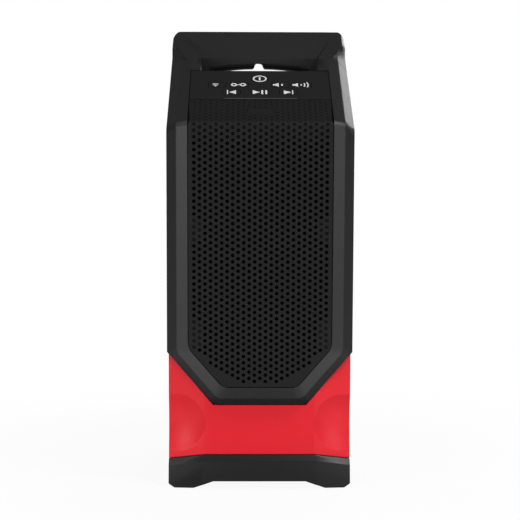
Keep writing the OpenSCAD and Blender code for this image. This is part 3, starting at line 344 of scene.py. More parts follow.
def moulded(name, base, roughness, grain=2200.0, depth=0.00002, patch=0.1, rubs=0.25, specular=0.5):
    """Grained plastic or rubber: slow patches and lighter rubs in the colour, and a fine grain."""
    material, tree, shader = new_material(name, roughness, 0.0, specular)
    surface = place_group(tree, grain_group(), Grain_Scale=grain)
    worn = place_group(tree, scuff_group(), Cover=rubs)
    body = mix(tree, "RGBA", surface.outputs["Patch"], shade(base, 1 - patch), shade(base, 1 + patch))
    rubbed = shade([c * 1.15 + 0.004 for c in base], 1.0)
    link(tree, mix(tree, "RGBA", worn.outputs["Mask"], body, rubbed), shader.inputs["Base Color"])
    link(tree, spread(tree, surface.outputs["Grain"], roughness - 0.08, roughness + 0.08),
         shader.inputs["Roughness"])
    bump(tree, shader, surface.outputs["Grain"], depth)
    return material


def shroud_red(name):
    """The red moulding, painted as the case black in glossy rays: the black pieces show a painted dark reflection
    of it.
    """
    material = moulded(name, colours().shroud, 0.4, 2200.0, 0.000012, 0.03, 0.12, 0.25)
    tree = material.node_tree
    socket = tree.nodes["Principled BSDF"].inputs["Base Color"]
    # painted reflection: glossy rays see the case black instead of the red
    mirrored = tree.nodes.new("ShaderNodeLightPath").outputs["Is Glossy Ray"]
    seen = socket.links[0].from_socket
    link(tree, mix(tree, "RGBA", mirrored, seen, shade(colours().case, 1.0)), socket)
    return material


def brushed(name, base, roughness, grain=900.0):
    """Bare metal with fine streaks."""
    material, tree, shader = new_material(name, roughness, 1.0)
    surface = place_group(tree, grain_group(), Grain_Scale=grain, Patch_Scale=160.0)
    link(tree, mix(tree, "RGBA", surface.outputs["Patch"], shade(base, 0.8), shade(base, 1.1)),
         shader.inputs["Base Color"])
    link(tree, spread(tree, surface.outputs["Grain"], roughness - 0.1, roughness + 0.12),
         shader.inputs["Roughness"])
    bump(tree, shader, surface.outputs["Grain"], 0.00001)
    return material


def woven(name, base, threads):
    """Cloth of fine threads."""
    material, tree, shader = new_material(name, 0.85, 0.0, 0.3)
    cloth = place_group(tree, weave_group(), Threads=threads)
    link(tree, mix(tree, "RGBA", cloth.outputs["Height"], shade(base, 0.4), shade(base, 1.2)),
         shader.inputs["Base Color"])
    bump(tree, shader, cloth.outputs["Height"], 0.0001)
    return material


def circuit(name, base, track):
    """Circuit board: solder mask over a grid of tracks."""
    material, tree, shader = new_material(name, 0.35)
    place = tree.nodes.new("ShaderNodeTexCoord")
    turn = add_node(tree, "ShaderNodeMapping")
    turn.inputs["Rotation"].default_value = (math.radians(90), 0, 0)
    brick = add_node(tree, "ShaderNodeTexBrick", Scale=260.0, Mortar_Size=0.03, Bias=0.0)
    brick.inputs["Color1"].default_value = shade(base, 0.9)
    brick.inputs["Color2"].default_value = shade(base, 1.1)
    brick.inputs["Mortar"].default_value = shade(track, 1.0)
    link(tree, place.outputs["Object"], turn.inputs["Vector"])
    link(tree, turn.outputs["Vector"], brick.inputs["Vector"])
    link(tree, brick.outputs["Color"], shader.inputs["Base Color"])
    bump(tree, shader, brick.outputs["Fac"], 0.00003)
    return material


def wound(name, base):
    """Copper wire wound in even turns along Y."""
    material, tree, shader = new_material(name, 0.3, 1.0)
    place = tree.nodes.new("ShaderNodeTexCoord")
    turns = add_node(tree, "ShaderNodeTexWave", bands_direction="Y", Scale=1400.0)
    link(tree, place.outputs["Object"], turns.inputs["Vector"])
    link(tree, mix(tree, "RGBA", turns.outputs["Fac"], shade(base, 0.5), shade(base, 1.1)),
         shader.inputs["Base Color"])
    bump(tree, shader, turns.outputs["Fac"], 0.00005)
    return material


def finish(name):
    """The finish of that name, made once."""
    found = bpy.data.materials.get(name)
    return found or FINISHES[name](name)


FINISHES = {
    "case_black": lambda n: moulded(n, colours().case, 0.45, specular=0.4),
    "base_black": lambda n: moulded(n, colours().base, 0.36, 1800.0, specular=0.3),
    "shroud_red": shroud_red,
    "grille_black": lambda n: moulded(n, colours().grille, 0.55, 1400.0, 0.00006, 0.2, 0.2, 0.2),
    # a lighter grey lip: painted highlight on the key plate's front edge
    "lip_grey": lambda n: moulded(n, paint("3c3c3d"), 0.5, 3000.0),
    "key_black": lambda n: moulded(n, colours().key, 0.5, 3000.0, specular=0.3),
    "rubber_black": lambda n: moulded(n, colours().rubber, 0.75, 1800.0, 0.00003),
    "latch_grey": lambda n: moulded(n, paint("38383a"), 0.5),
    "mark_white": lambda n: moulded(n, colours().mark, 0.6, 4000.0, 0.000005, 0.05, 0.1),
    "lens_smoke": lambda n: moulded(n, paint("151517"), 0.4, 3000.0, 0.000004, 0.05, 0.1, 0.3),
    "cone_paper": lambda n: moulded(n, paint("2c2c30"), 0.7, 2600.0, 0.00004),
    "ribbon_film": lambda n: moulded(n, paint("c9c6bd"), 0.4, 900.0, 0.00001),
    "lead_red": lambda n: moulded(n, paint("a3242a"), 0.45, 2600.0, 0.00001),
    "basket_paint": lambda n: moulded(n, paint("4b4d50"), 0.4, 1600.0, 0.00003),
    "ferrite_grey": lambda n: moulded(n, paint("3c3d40"), 0.6, 1200.0, 0.00005),
    "cell_wrap": lambda n: moulded(n, paint("47616f"), 0.3, 2600.0, 0.000006),
    "plated_steel": lambda n: brushed(n, paint("a7a9ab"), 0.32),
    "sink_aluminium": lambda n: brushed(n, paint("b4b6ba"), 0.4, 700.0),
    "contact_copper": lambda n: brushed(n, paint("c08a4e"), 0.3),
    "coil_copper": lambda n: wound(n, paint("b2703a")),
    "grille_cloth": lambda n: woven(n, paint("0b0b0c"), 900.0),
    "spider_cloth": lambda n: woven(n, paint("a08a52"), 700.0),
    "board_green": lambda n: circuit(n, paint("1e4d33"), paint("2f6a48")),
}


# Mesh helpers

def cad_mesh(node):
    """A copy of a node's mesh with its triangles merged into flat faces."""
    merge = 0.002 * MM
    bm = bmesh.new()
    bm.from_mesh(NODES[node].data)
    bmesh.ops.remove_doubles(bm, verts=bm.verts, dist=merge)
    bmesh.ops.dissolve_degenerate(bm, edges=bm.edges, dist=merge)
    bmesh.ops.dissolve_limit(bm, angle_limit=math.radians(0.4), verts=bm.verts, edges=bm.edges)
    return bm


def oval(x, y, rx, ry, count=28):
    return [(x + rx * math.cos(math.tau * k / count), y + ry * math.sin(math.tau * k / count))
            for k in range(count)]


def middle(edge):
    return (edge.verts[0].co + edge.verts[1].co) / 2


def is_sharp(edge, least, shortest=0.4 * MM):
    """True for an edge between two faces that turn by more than least degrees."""
    if len(edge.link_faces) != 2 or edge.calc_length() < shortest:
        return False
    return edge.calc_face_angle() > math.radians(least)


def soften(bm, edges, radius, segments):
    bmesh.ops.bevel(bm, geom=list(edges), offset=radius, offset_type="OFFSET", affect="EDGES",
                    segments=segments, profile=0.5, material=-1, clamp_overlap=False, loop_slide=True)


def make_piece(bm, name, body, finish_name, replaced=(), smooth_angle=35.0):
    """Turns a bmesh into a finished piece that rides on a body."""
    mesh = bpy.data.meshes.new(name)
    for face in bm.faces:
        face.smooth = True
    bm.to_mesh(mesh)
    bm.free()
    mesh.set_sharp_from_angle(angle=math.radians(smooth_angle))
    mesh.materials.append(finish(finish_name))
    piece = bpy.data.objects.new(name, mesh)
    bpy.context.scene.collection.objects.link(piece)
    weighted = piece.modifiers.new("weighted_normals", "WEIGHTED_NORMAL")
    weighted.keep_sharp = True
    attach(piece, body)
    if replaced:
        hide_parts(*replaced)
    return piece


def close_jogs(bm, limit):
    """Closes up the lone short edges where planes nearly meet in one point; round rims stay."""
    lone = []
    for edge in bm.edges:
        size = edge.calc_length()
        if size > limit:
            continue
        for vert in edge.verts:
            others = [e.calc_length() for e in vert.link_edges if e is not edge]
            if not any(0.8 * size < other < 1.25 * size for other in others):
                lone.append(edge)
                break
    bmesh.ops.collapse(bm, edges=lone)


def is_ridge(edge, core_low, core_high, shortest=2 * MM):
    """True for a long outer ridge: both faces look away from that stretch of the upright middle line."""
    spot = middle(edge)
    core = Vector((0, 0, min(max(spot.z, core_low), core_high)))
    return (edge.is_convex and edge.calc_length() > shortest
            and all(f.normal.dot(spot - core) > 0 for f in edge.link_faces))


def is_mitre(edge):
    """True where two like bevels of the bezel meet: at a corner of the front or at the bend."""
    if not is_sharp(edge, 8.0, MITRE_SHORTEST) or not is_ridge(edge, CORE_LOW, CORE_HIGH, MITRE_SHORTEST):
        return False
    if edge.calc_length() > MITRE_LONGEST or edge.calc_face_angle() > math.radians(75):
        return False
    alike = 0.03
    one, two = (face.normal for face in edge.link_faces)
    to_front = max(one.y, two.y) <= -0.05
    at_corner = abs(one.y - two.y) < alike and one.y > -0.99
    at_bend = abs(one.x - two.x) < alike and abs(one.x) > 0.2
    return to_front and (at_corner or at_bend)


def sweep_front(bm, knee, foot_back, top_back):
    """Fold the base's front back on both sides of its middle, more at its top than at its feet."""
    snap = 0.05 * MM
    front = min(v.co.y for v in bm.verts) + 0.1 * MM
    half = max(v.co.x for v in bm.verts)
    for x in (-knee, knee):
        bmesh.ops.bisect_plane(bm, geom=bm.verts[:] + bm.edges[:] + bm.faces[:], dist=snap,
                               plane_co=(x, 0, 0), plane_no=(1, 0, 0))
    for vert in bm.verts:
        past = abs(vert.co.x) - knee
        if past > 0 and vert.co.y < front:
            rise = min(max((vert.co.z - FOOT_TOP) / (LEDGE_LOW - FOOT_TOP), 0), 1)
            vert.co.y += (foot_back + (top_back - foot_back) * rise) * past / (half - knee)


def dressed_copy(node, name, finish_name, radius, segments=2, least=25.0, wanted=None, jogs=0.0,
                 mitre=0.0, shape=None, smooth=35.0):
    """A node's copy with its sharp edges rounded, which stands for the node."""
    bm = cad_mesh(node)
    if jogs:
        close_jogs(bm, jogs)
    if shape:
        shape(bm)
    if mitre:
        soften(bm, [e for e in bm.edges if is_mitre(e)], mitre, 5)
    edges = [e for e in bm.edges if is_sharp(e, least) and (wanted is None or wanted(e))]
    soften(bm, edges, radius, segments)
    return make_piece(bm, name, BODY_OF[node], finish_name, (node,), smooth)


class SPEAKER_OT_mouldings(bpy.types.Operator):
    """Round the edges of the case, the shroud and the base"""

    bl_idname = "speaker.mouldings"
    bl_label = "Case mouldings"

    def execute(self, context):
        s = sizes()
        for node, name in (("front_shell", "case_front"), ("rear_shell", "case_rear")):
            dressed_copy(node, name, "case_black", s.edge_round, 3, 24.0,
                         lambda e: is_ridge(e, CORE_LOW, CORE_HIGH), jogs=0.5 * MM, mitre=s.corner_round)
        dressed_copy("lower_shroud", "shroud", "shroud_red", s.edge_round, 3, 30.0,
                     lambda e: is_ridge(e, CORE_LOW, CORE_HIGH, 8 * MM), smooth=16.0)
        dressed_copy("base", "foot_frame", "base_black", s.base_round, 3, 8.0,
                     lambda e: is_ridge(e, BASE_MIDDLE, BASE_MIDDLE),
                     shape=lambda bm: sweep_front(bm, s.knee, s.foot_sweep, s.sweep))
        return {"FINISHED"}


class GrilleSheet:
    """The grille's face laid flat: x across, s up the front, over the bend and up the slope."""

    def __init__(self, s):
        self.radius = s.bend_round
        spots = [v.co for v in NODES["grille"].data.vertices]
        slope = max(p.dot(OUTWARD) for p in spots)
        bend_z = (slope - OUTWARD.y * GRILLE_Y) / OUTWARD.z
        self.turn = math.acos(UPHILL.z)
        reach = self.radius * math.tan(self.turn / 2)
        self.low = bend_z - reach
        self.high = self.low + self.radius * self.turn
        self.bend = Vector((0, GRILLE_Y, bend_z))
        self.reach = reach
        self.top = self.high + max((p - self.bend).dot(UPHILL) for p in spots) - reach
        self.half = max(p.x for p in spots)
        bottom = min(p.z for p in spots)
        corner = min(p.z for p in spots if p.x > self.half - 0.1 * MM)
        foot = max(p.x for p in spots if p.z < bottom + 0.1 * MM)
        wide = self.half + s.slope_widen
        self.outline = [(-foot, bottom), (foot, bottom), (self.half, corner), (wide, self.low),
                        (wide, self.top), (-wide, self.top), (-wide, self.low), (-self.half, corner)]

    def along(self, v):
        """s of a place at a distance up the slope from the sharp bend."""
        return self.high + v - self.reach

    def point(self, x, s, depth):
        if s <= self.low:
            return Vector((x, GRILLE_Y + depth, s))
        turn = min((s - self.low) / self.radius, self.turn)
        arm = self.radius - depth
        spot = Vector((x, GRILLE_Y + self.radius - arm * math.cos(turn),
                       self.low + arm * math.sin(turn)))
        return spot + UPHILL * max(0.0, s - self.high)

    def inside(self, x, s, margin):
        """True if a place is further in from the outline than the margin."""
        count = len(self.outline)
        for k, (x0, s0) in enumerate(self.outline):
            x1, s1 = self.outline[(k + 1) % count]
            span = math.hypot(x1 - x0, s1 - s0)
            if ((x1 - x0) * (s - s0) - (s1 - s0) * (x - x0)) / span < margin:
                return False
        return True


def lowest_hole(s, column):
    """Height of a column's lower end: level in the middle, then rising along the grille's lower corners."""
    level_columns = 3.2
    rise = 0.51
    outer_column = 9
    outer_rise = 2 * MM
    lowest = s.hole_low - 0.5 * MM + max(0.0, abs(column) - level_columns) * s.hole_pitch * rise
    return lowest + (outer_rise if abs(column) > outer_column else 0.0)


def grille_holes(s, sheet, window):
    """Places of the grille's holes as (x, s, kind, depth): through, blind or faint."""
    pitch, columns = s.hole_pitch, s.column_pitch
    reach = int((sheet.half - s.hole_radius * 2) / columns)
    margin = s.hole_radius + 0.4 * MM
    post_start = s.post_x - 2.6 * MM
    posts = ((s.post_high, 6.4 * MM), (s.post_low, 7.6 * MM))
    places = []
    for column in range(-reach, reach + 1):
        x = column * columns
        lowest = lowest_hole(s, column)
        start = s.hole_low + (0 if column % 2 else 0.5) * pitch
        for row in range(int((sheet.top - start) / pitch) + 1):
            at = start + row * pitch
            if at <= lowest or not sheet.inside(x, at, margin):
                continue
            by_post = abs(x) > post_start and any(abs(at - height) < half for height, half in posts)
            if at > sheet.high:
                near_window = window[0] < x < window[1] and window[2] < at < window[3]
                if not near_window:
                    places.append((x, at, "faint", s.faint_depth))
            elif by_post or at > s.hole_top:
                share = 1.0 if by_post else min((at - s.hole_top) / (sheet.low - s.hole_top), 1.0)
                depth = s.dimple_depth + (s.shallow_depth - s.dimple_depth) * share
                places.append((x, at, "blind", depth))
            else:
                places.append((x, at, "through", s.grille_thick))
    return places


class SPEAKER_OT_grille(bpy.types.Operator):
    """Make the grille with chamfered holes and blind dimples, and the status window"""

    bl_idname = "speaker.grille"
    bl_label = "Grille"

    def execute(self, context):
        s = sizes()
        sheet = GrilleSheet(s)
        frame_of_window = self.window_outline(sheet, 0.15 * MM)
        clear = s.dimple_radius + 0.5 * MM
        window = (frame_of_window[0][0] - clear, frame_of_window[2][0] + clear,
                  frame_of_window[0][1] - clear, frame_of_window[2][1] + clear)
        loops = [(sheet.outline, "edge", 0.0), (frame_of_window, "edge", 0.0)]
        for x, at, kind, depth in grille_holes(s, sheet, window):
            radius = {"through": s.hole_radius + s.rim_round, "blind": s.dimple_radius,
                      "faint": s.faint_radius}[kind]
            loops.append((oval(x, at, radius, radius, s.hole_sides), kind, depth))
        bm = self.sheet_mesh(sheet, loops, s)
        make_piece(bm, "grille_face", BODY_OF["grille"], "grille_black", ("grille",))
        dressed_copy("status_lens", "status_window", "lens_smoke", s.small_round)
        return {"FINISHED"}

    def window_outline(self, sheet, clearance):
        """The status window's outline on the flat sheet."""
        spots = [v.co for v in NODES["status_lens"].data.vertices]
        x = max(p.x for p in spots) + clearance
        places = [sheet.along((p - sheet.bend).dot(UPHILL)) for p in spots]
        low, high = min(places) - clearance, max(places) + clearance
        return [(-x, low), (x, low), (x, high), (-x, high)]

    def bend_points(self, sheet, loops):
        """Points over the bend that make the flat triangles follow it."""
        near = 3 * MM
        apart = 0.1 * MM
        holes = [(sum(p[0] for p in loop) / len(loop), sum(p[1] for p in loop) / len(loop),
                  math.dist(loop[0], loop[len(loop) // 2]) / 2)
                 for loop, kind, depth in loops if kind in ("blind", "faint", "through")]
        holes = [hole for hole in holes if sheet.low - near < hole[1] < sheet.high + near]
        points = []
        rows, columns = 6, 90
        for row in range(rows + 1):
            at = sheet.low + (sheet.high - sheet.low) * row / rows
            for column in range(1, columns):
                x = sheet.half * (2 * column / columns - 1)
                if all(math.hypot(x - hx, at - hs) > radius + apart for hx, hs, radius in holes):
                    points.append((x, at))
        return points

    def sheet_mesh(self, sheet, loops, s):
        """The closed sheet: front, back, rims and walls of the holes, and dimples."""
        flat, owner, edges = [], [], []
        for number, (loop, kind, depth) in enumerate(loops):
            first = len(flat)
            flat.extend(loop)
            owner.extend([number] * len(loop))
            edges.extend((first + k, first + (k + 1) % len(loop)) for k in range(len(loop)))
        extra = self.bend_points(sheet, loops)
        flat.extend(extra)
        owner.extend([-1] * len(extra))
        made = delaunay_2d_cdt([Vector(p) for p in flat], edges, [], 1, 1e-8)
        spots, triangles = made[0], made[2]
        owners = [owner[source[0]] if source else -1 for source in made[3]]
        bm = bmesh.new()
        front = [bm.verts.new(sheet.point(p.x, p.y, 0)) for p in spots]
        back = [bm.verts.new(sheet.point(p.x, p.y, s.grille_thick)) for p in spots]
        for trio in triangles:
            numbers = {owners[k] for k in trio}
            number = numbers.pop() if len(numbers) == 1 else -1
            kind = loops[number][1] if number > 0 else ""
            if kind not in ("blind", "faint", "through", "edge"):
                bm.faces.new([front[k] for k in trio])
            if kind not in ("through", "edge"):
                bm.faces.new([back[k] for k in reversed(trio)])
        place = {}
        for k, source in enumerate(made[3]):
            for old in source:
                place[old] = k
        first = 0
        for loop, kind, depth in loops:
            corners = [place[first + k] for k in range(len(loop))]
            first += len(loop)
            upper = [front[k] for k in corners]
            lower = [back[k] for k in corners]
            if kind in ("edge", "through"):
                if kind == "through":
                    upper = self.next_ring(bm, sheet, upper, loop, s.hole_radius, s.rim_round)
                    self.stretch_ring(sheet, lower, loop, s.hole_radius, s.grille_thick)
                self.skirt(bm, upper, lower)
                continue
            radius = s.dimple_radius if kind == "blind" else s.faint_radius
            for wide, deep in DIMPLE_RINGS:
                upper = self.next_ring(bm, sheet, upper, loop, radius * wide, depth * deep)
            bm.faces.new(upper)
        bmesh.ops.recalc_face_normals(bm, faces=bm.faces)
        return bm

    def ring_places(self, loop, radius):
        count = len(loop)
        x = sum(p[0] for p in loop) / count
        at = sum(p[1] for p in loop) / count
        return oval(x, at, radius, radius, count)

    def next_ring(self, bm, sheet, upper, loop, radius, depth):
        """A ring of another radius and depth, joined to the one before."""
        lower = [bm.verts.new(sheet.point(x, at, depth)) for x, at in self.ring_places(loop, radius)]
        self.skirt(bm, upper, lower)
        return lower

    def stretch_ring(self, sheet, verts, loop, radius, depth):
        for vert, (x, at) in zip(verts, self.ring_places(loop, radius)):
            vert.co = sheet.point(x, at, depth)

    def skirt(self, bm, upper, lower):
        count = len(upper)
        for k in range(count):
            after = (k + 1) % count
            bm.faces.new((upper[k], lower[k], lower[after], upper[after]))


class SPEAKER_OT_keys(bpy.types.Operator):
    """Round the key plate and the keys"""

    bl_idname = "speaker.keys"
    bl_label = "Key plate and keys"

    def execute(self, context):
        s = sizes()
        dressed_copy("control_plate", "key_plate", "key_black", s.key_round, least=60.0)
        for key in KEYS:
            dressed_copy("key_" + key, "cap_" + key, "key_black", s.key_round, least=60.0)
        self.make_highlight_lip(s)
        return {"FINISHED"}

    def make_highlight_lip(self, s):
        """A low rounded lip along the middle of the plate's front edge, in a lighter grey that paints the
        highlight along that edge.
        """
        spots = [v.co for v in NODES["control_plate"].data.vertices]
        top = max(p.dot(OUTWARD) for p in spots) - 0.02 * MM
        front = min(p.dot(UPHILL) for p in spots if p.dot(OUTWARD) > top - 0.1 * MM)
        bm = bmesh.new()
        count = 6
        rows = []
        for x in (-s.lip_half, s.lip_half):
            rows.append([])
            for k in range(count + 1):
                turn = math.pi * k / count
                along = front + s.lip_width * (1 - math.cos(turn)) / 2
                rows[-1].append(bm.verts.new(Vector((x, 0, 0)) + UPHILL * along
                                             + OUTWARD * (top + s.lip_height * math.sin(turn))))
        for k in range(count):
            bm.faces.new((rows[0][k], rows[0][k + 1], rows[1][k + 1], rows[1][k]))
        bm.faces.new((rows[0][0], rows[1][0], rows[1][-1], rows[0][-1]))
        bm.faces.new(rows[0])
        bm.faces.new(rows[1])
        bmesh.ops.recalc_face_normals(bm, faces=bm.faces)
        make_piece(bm, "plate_lip", BODY_OF["control_plate"], "lip_grey")


# Outlines of the key marks, in millimetres from the mark's middle: x to the right, y up the slope

def ring(x, y, rx, ry, stroke):
    """A closed band: its outer and its inner outline."""
    return oval(x, y, rx, ry), oval(x, y, rx - stroke, ry - stroke)


def wave(x, y, radius, half_angle, heading, stroke, count=12):
    """A band along an arc that is centred on a heading in degrees."""
    angles = [math.radians(heading - half_angle + 2 * half_angle * k / count) for k in range(count + 1)]
    outer = [(x + radius * math.cos(a), y + radius * math.sin(a)) for a in angles]
    inner = [(x + (radius - stroke) * math.cos(a), y + (radius - stroke) * math.sin(a)) for a in angles]
    return outer + inner[::-1]


def bar(x, y, width, height):
    return [(x - width / 2, y - height / 2), (x + width / 2, y - height / 2),
            (x + width / 2, y + height / 2), (x - width / 2, y + height / 2)]


def triangle(x, width, height):
    """Points to the right for a positive width; x is its upright side."""
    return [(x, -height / 2), (x + width, 0), (x, height / 2)]


def horn(x):
    """A loudspeaker that opens to the right; x is its left end."""
    return [(x, -0.9), (x + 1.2, -0.9), (x + 3.3, -2.4), (x + 3.3, 2.4), (x + 1.2, 0.9), (x, 0.9)]


def key_marks(stroke):
    """Offset of the mark from the key's middle and the outlines of each mark."""
    return {
        "power": (0.0, [ring(0, 0, 4.05, 4.05, stroke), bar(0, 0, stroke, 4.4)]),
        "wireless": (-0.9, [oval(0, -1.6, 0.55, 0.55), wave(0, -1.8, 1.9, 44, 90, stroke * 0.7),
                            wave(0, -1.8, 3.3, 34, 90, stroke * 0.7)]),
        "link": (-0.6, [ring(-2.6, 0, 1.8, 1.9, stroke), ring(2.6, 0, 1.8, 1.9, stroke),
                        bar(0, 0, 2.4, stroke)]),
        "volume_down": (-1.25, [horn(-2.85), wave(-1.6, 0, 4.4, 15, 0, stroke)]),
        "volume_up": (-1.2, [horn(-4.7), wave(-3.0, 0, 3.9, 14, 0, stroke),
                             wave(-3.0, 0, 5.8, 24, 0, stroke * 0.8),
                             wave(-3.0, 0, 7.7, 24, 0, stroke * 0.8)]),
        "previous": (0.0, [bar(-2.3, 0, 0.65, 4.8), triangle(2.5, -4.0, 4.8)]),
        "play_pause": (0.0, [triangle(-4.15, 4.0, 4.8), bar(1.25, 0, 1.05, 4.8),
                             bar(3.5, 0, 1.05, 4.8)]),
        "next": (0.0, [triangle(-2.6, 4.2, 4.8), bar(2.35, 0, 0.65, 4.8)]),
    }


def key_top(key):
    """The middle of a key's upper face."""
    spots = [v.co for v in NODES["key_" + key].data.vertices]
    top = max(p.dot(OUTWARD) for p in spots)
    upper = [p for p in spots if p.dot(OUTWARD) > top - 0.05 * MM]
    along = [p.dot(UPHILL) for p in upper]
    across = [p.x for p in upper]
    return (Vector(((min(across) + max(across)) / 2, 0, 0)) + OUTWARD * top
            + UPHILL * (min(along) + max(along)) / 2)


def raise_outline(bm, place, outline):
    """A raised print with an outline, or a band between two outlines, with its skirt."""
    bands = outline if isinstance(outline, tuple) else (outline,)
    low = [[bm.verts.new(place(x, y, 0)) for x, y in band] for band in bands]
    high = [[bm.verts.new(place(x, y, 1)) for x, y in band] for band in bands]
    for lower, upper in zip(low, high):
        count = len(lower)
        for k in range(count):
            bm.faces.new((lower[k], lower[(k + 1) % count], upper[(k + 1) % count], upper[k]))
    if len(bands) == 1:
        bm.faces.new(high[0])
        bm.faces.new(low[0][::-1])
        return
    count = len(high[0])
    for k in range(count):
        after = (k + 1) % count
        bm.faces.new((high[0][k], high[0][after], high[1][after], high[1][k]))
        bm.faces.new((low[0][k], low[1][k], low[1][after], low[0][after]))


class SPEAKER_OT_key_marks(bpy.types.Operator):
    """Print the marks on the keys"""

    bl_idname = "speaker.key_marks"
    bl_label = "Key marks"

    def execute(self, context):
        s = sizes()
        sunk = 0.02 * MM
        for key, (offset, outlines) in key_marks(s.stroke / MM).items():
            middle_point = key_top(key) + Vector((offset * MM, 0, 0))

            def place(x, y, level):
                lift = s.mark_height if level else -sunk
                return middle_point + Vector((x * MM, 0, 0)) + UPHILL * y * MM + OUTWARD * lift

            bm = bmesh.new()
            for outline in outlines:
                raise_outline(bm, place, outline)
            bmesh.ops.recalc_face_normals(bm, faces=bm.faces)
            make_piece(bm, "mark_" + key, BODY_OF["key_" + key], "mark_white")
        return {"FINISHED"}


class SPEAKER_OT_fittings(bpy.types.Operator):
    """Round the battery, its latches, the port cover, the feet and the screws"""

    bl_idname = "speaker.fittings"
    bl_label = "Battery, cover, feet and screws"

    def execute(self, context):
        s = sizes()
        cover_side = 11 * MM
        dressed_copy("battery_case", "battery_shell", "case_black", s.edge_round, 3, 40.0)
        for side in ("left", "right"):
            dressed_copy("battery_latch_" + side, "latch_button_" + side, "latch_grey", s.small_round)
        dressed_copy("port_cover", "charge_cover", "rubber_black", s.small_round,
                     wanted=lambda e: e.is_convex and e.calc_length() > cover_side)
        dressed_copy("foot_pads", "foot_treads", "rubber_black", s.small_round, least=60.0)
        dressed_copy("housing_screws", "case_screws", "plated_steel", s.small_round, least=60.0)
        dressed_copy("base_screws", "foot_screws", "plated_steel", s.small_round, least=60.0)
        return {"FINISHED"}


INNER_FINISHES = {
    "black_plastic": "case_black", "latch_plastic": "latch_grey", "rubber": "rubber_black",
    "cloth": "grille_cloth", "lens": "lens_smoke", "board": "board_green", "ribbon": "ribbon_film",
    "basket_steel": "basket_paint", "cone": "cone_paper", "copper": "contact_copper",
    "steel": "plated_steel", "ferrite": "ferrite_grey", "aluminium": "sink_aluminium",
    "cell": "cell_wrap", "lead": "lead_red",
}


class SPEAKER_OT_inner_parts(bpy.types.Operator):
    """Give the parts inside the case their finishes"""

    bl_idname = "speaker.inner_parts"
    bl_label = "Parts inside"

    def execute(self, context):
        special = {"voice_coil": "coil_copper", "driver_spider": "spider_cloth"}
        for node, piece in NODES.items():
            if piece.hide_render:
                continue
            name = special.get(node, INNER_FINISHES[SLOTS[node]])
            piece.data.materials.clear()
            piece.data.materials.append(finish(name))
        return {"FINISHED"}


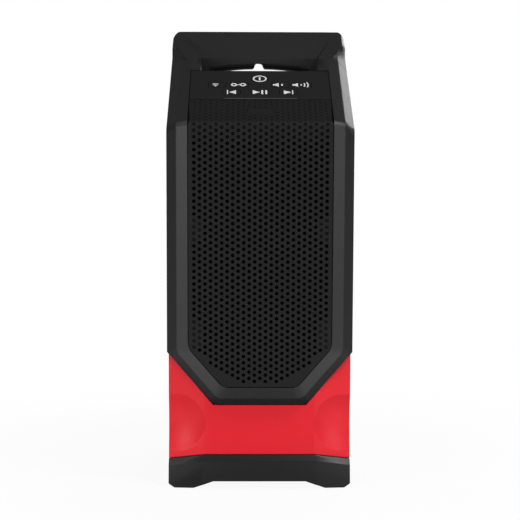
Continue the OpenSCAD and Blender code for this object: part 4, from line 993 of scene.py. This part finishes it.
class SPEAKER_OT_stage(bpy.types.Operator):
    """Set the floor, the studio light and the camera"""

    bl_idname = "speaker.stage"
    bl_label = "Stage"

    def execute(self, context):
        view = context.scene.speaker_view
        context.scene.view_settings.view_transform = "Standard"
        self.make_floor()
        self.make_world(context.scene, view)
        for side, (place, aim, size) in SOFTBOXES.items():
            self.make_lamp("softbox_" + side, place, aim, size, getattr(view, side + "_power"))
        camera = bpy.data.objects.new("camera", bpy.data.cameras.new("camera"))
        camera.data.lens = view.lens
        camera.data.clip_start = 0.05
        context.scene.collection.objects.link(camera)
        camera.matrix_world = (Matrix.Translation(view.view_from) @ Matrix.Rotation(-view.turn, 4, "Z")
                               @ Matrix.Rotation(math.pi / 2 - view.tilt, 4, "X")
                               @ Matrix.Rotation(view.roll, 4, "Z"))
        context.scene.camera = camera
        return {"FINISHED"}

    def make_lamp(self, name, place, aim, size, watts):
        lamp = bpy.data.lights.new(name, "AREA")
        lamp.shape = "RECTANGLE"
        lamp.size, lamp.size_y = size
        lamp.energy = watts
        holder = bpy.data.objects.new(name, lamp)
        bpy.context.scene.collection.objects.link(holder)
        holder.location = place
        holder.rotation_euler = (Vector(aim) - Vector(place)).to_track_quat("-Z", "Y").to_euler()

    def make_world(self, scene, view):
        """White for the camera, a dim room in reflections and an even light for the rest."""
        world = bpy.data.worlds.new("studio")
        scene.world = world
        world.use_nodes = True
        tree = world.node_tree
        shader = tree.nodes["Background"]
        shader.inputs["Color"].default_value = (1, 1, 1, 1)
        path = tree.nodes.new("ShaderNodeLightPath")
        mirrored = mix(tree, "FLOAT", path.outputs["Is Glossy Ray"], view.ambient, view.room)
        strength = mix(tree, "FLOAT", path.outputs["Is Camera Ray"], mirrored, 1.0)
        link(tree, strength, shader.inputs["Strength"])

    def make_floor(self):
        """A pale floor: near white to the camera, plain in the light, and with a glow in reflections."""
        bm = bmesh.new()
        bmesh.ops.create_grid(bm, x_segments=8, y_segments=8, size=4.0)
        mesh = bpy.data.meshes.new("floor")
        bm.to_mesh(mesh)
        bm.free()
        floor = bpy.data.objects.new("floor", mesh)
        bpy.context.scene.collection.objects.link(floor)
        material = bpy.data.materials.new("pale_floor")
        material.use_nodes = True
        tree = material.node_tree
        tree.nodes.remove(tree.nodes["Principled BSDF"])
        lit = tree.nodes.new("ShaderNodeBsdfDiffuse")
        lit.inputs["Color"].default_value = (0.85, 0.85, 0.85, 1)
        white = tree.nodes.new("ShaderNodeEmission")
        place = tree.nodes.new("ShaderNodeTexCoord")
        path = tree.nodes.new("ShaderNodeLightPath")
        far = add_node(tree, "ShaderNodeVectorMath", operation="LENGTH")
        link(tree, place.outputs["Object"], far.inputs[0])
        near_share = 0.93
        near, wide = 0.08, 0.3
        share = add_node(tree, "ShaderNodeMath", operation="MULTIPLY")
        link(tree, spread(tree, far.outputs["Value"], near_share, 1.0, near, wide, "SMOOTHSTEP"),
             share.inputs[0])
        link(tree, path.outputs["Is Camera Ray"], share.inputs[1])
        pool = self.make_pools(tree, place)
        mirrored = self.mix_shaders(tree, path.outputs["Is Glossy Ray"], lit.outputs[0], pool)
        surface = self.mix_shaders(tree, share.outputs[0], mirrored, white.outputs[0])
        link(tree, surface, tree.nodes["Material Output"].inputs["Surface"])
        mesh.materials.append(material)

    def mix_shaders(self, tree, factor, low, high):
        node = tree.nodes.new("ShaderNodeMixShader")
        for number, socket in enumerate((factor, low, high)):
            link(tree, socket, node.inputs[number])
        return node.outputs[0]

    def make_pools(self, tree, place):
        """Glow of the floor in reflections: a soft pool of light at each front corner of the object."""
        pool_middle = (0.11, -0.165, 0)
        inner, outer = 0.04, 0.1
        bright, dim = 2.9, 0.42
        axes = tree.nodes.new("ShaderNodeSeparateXYZ")
        aside = add_node(tree, "ShaderNodeMath", operation="ABSOLUTE")
        folded = tree.nodes.new("ShaderNodeCombineXYZ")
        away = add_node(tree, "ShaderNodeVectorMath", operation="DISTANCE")
        away.inputs[1].default_value = pool_middle
        glow = tree.nodes.new("ShaderNodeEmission")
        link(tree, place.outputs["Object"], axes.inputs[0])
        link(tree, axes.outputs["X"], aside.inputs[0])
        link(tree, aside.outputs[0], folded.inputs["X"])
        link(tree, axes.outputs["Y"], folded.inputs["Y"])
        link(tree, folded.outputs[0], away.inputs[0])
        link(tree, spread(tree, away.outputs["Value"], bright, dim, inner, outer, "SMOOTHSTEP"),
             glow.inputs["Strength"])
        return glow.outputs[0]


class SPEAKER_PT_panel(bpy.types.Panel):
    """Lists the steps and the values of the speaker"""

    bl_idname = "SPEAKER_PT_panel"
    bl_label = "Jobsite speaker"
    bl_space_type = "VIEW_3D"
    bl_region_type = "UI"
    bl_category = "Speaker"

    def draw(self, context):
        for step in STEPS:
            self.layout.operator(step.bl_idname)
        for values in GROUPS:
            group = getattr(context.scene, values)
            box = self.layout.box()
            for name in group.bl_rna.properties.keys():
                if name not in ("rna_type", "name"):
                    box.prop(group, name)


STEPS = (SPEAKER_OT_stage, SPEAKER_OT_mouldings, SPEAKER_OT_grille, SPEAKER_OT_keys,
         SPEAKER_OT_key_marks, SPEAKER_OT_fittings, SPEAKER_OT_inner_parts)
GROUPS = {"speaker_sizes": SpeakerSizes, "speaker_colours": SpeakerColours, "speaker_view": SpeakerView}


def register():
    for cls in (*GROUPS.values(), *STEPS, SPEAKER_PT_panel):
        bpy.utils.register_class(cls)
    for name, cls in GROUPS.items():
        setattr(bpy.types.Scene, name, PointerProperty(type=cls))


def unregister():
    for name in GROUPS:
        delattr(bpy.types.Scene, name)
    for cls in (SPEAKER_PT_panel, *reversed(STEPS), *GROUPS.values()):
        bpy.utils.unregister_class(cls)


def main():
    register()
    for step in STEPS:
        family, name = step.bl_idname.split(".")
        getattr(getattr(bpy.ops, family), name)()


if __name__ == "__main__":
    main()
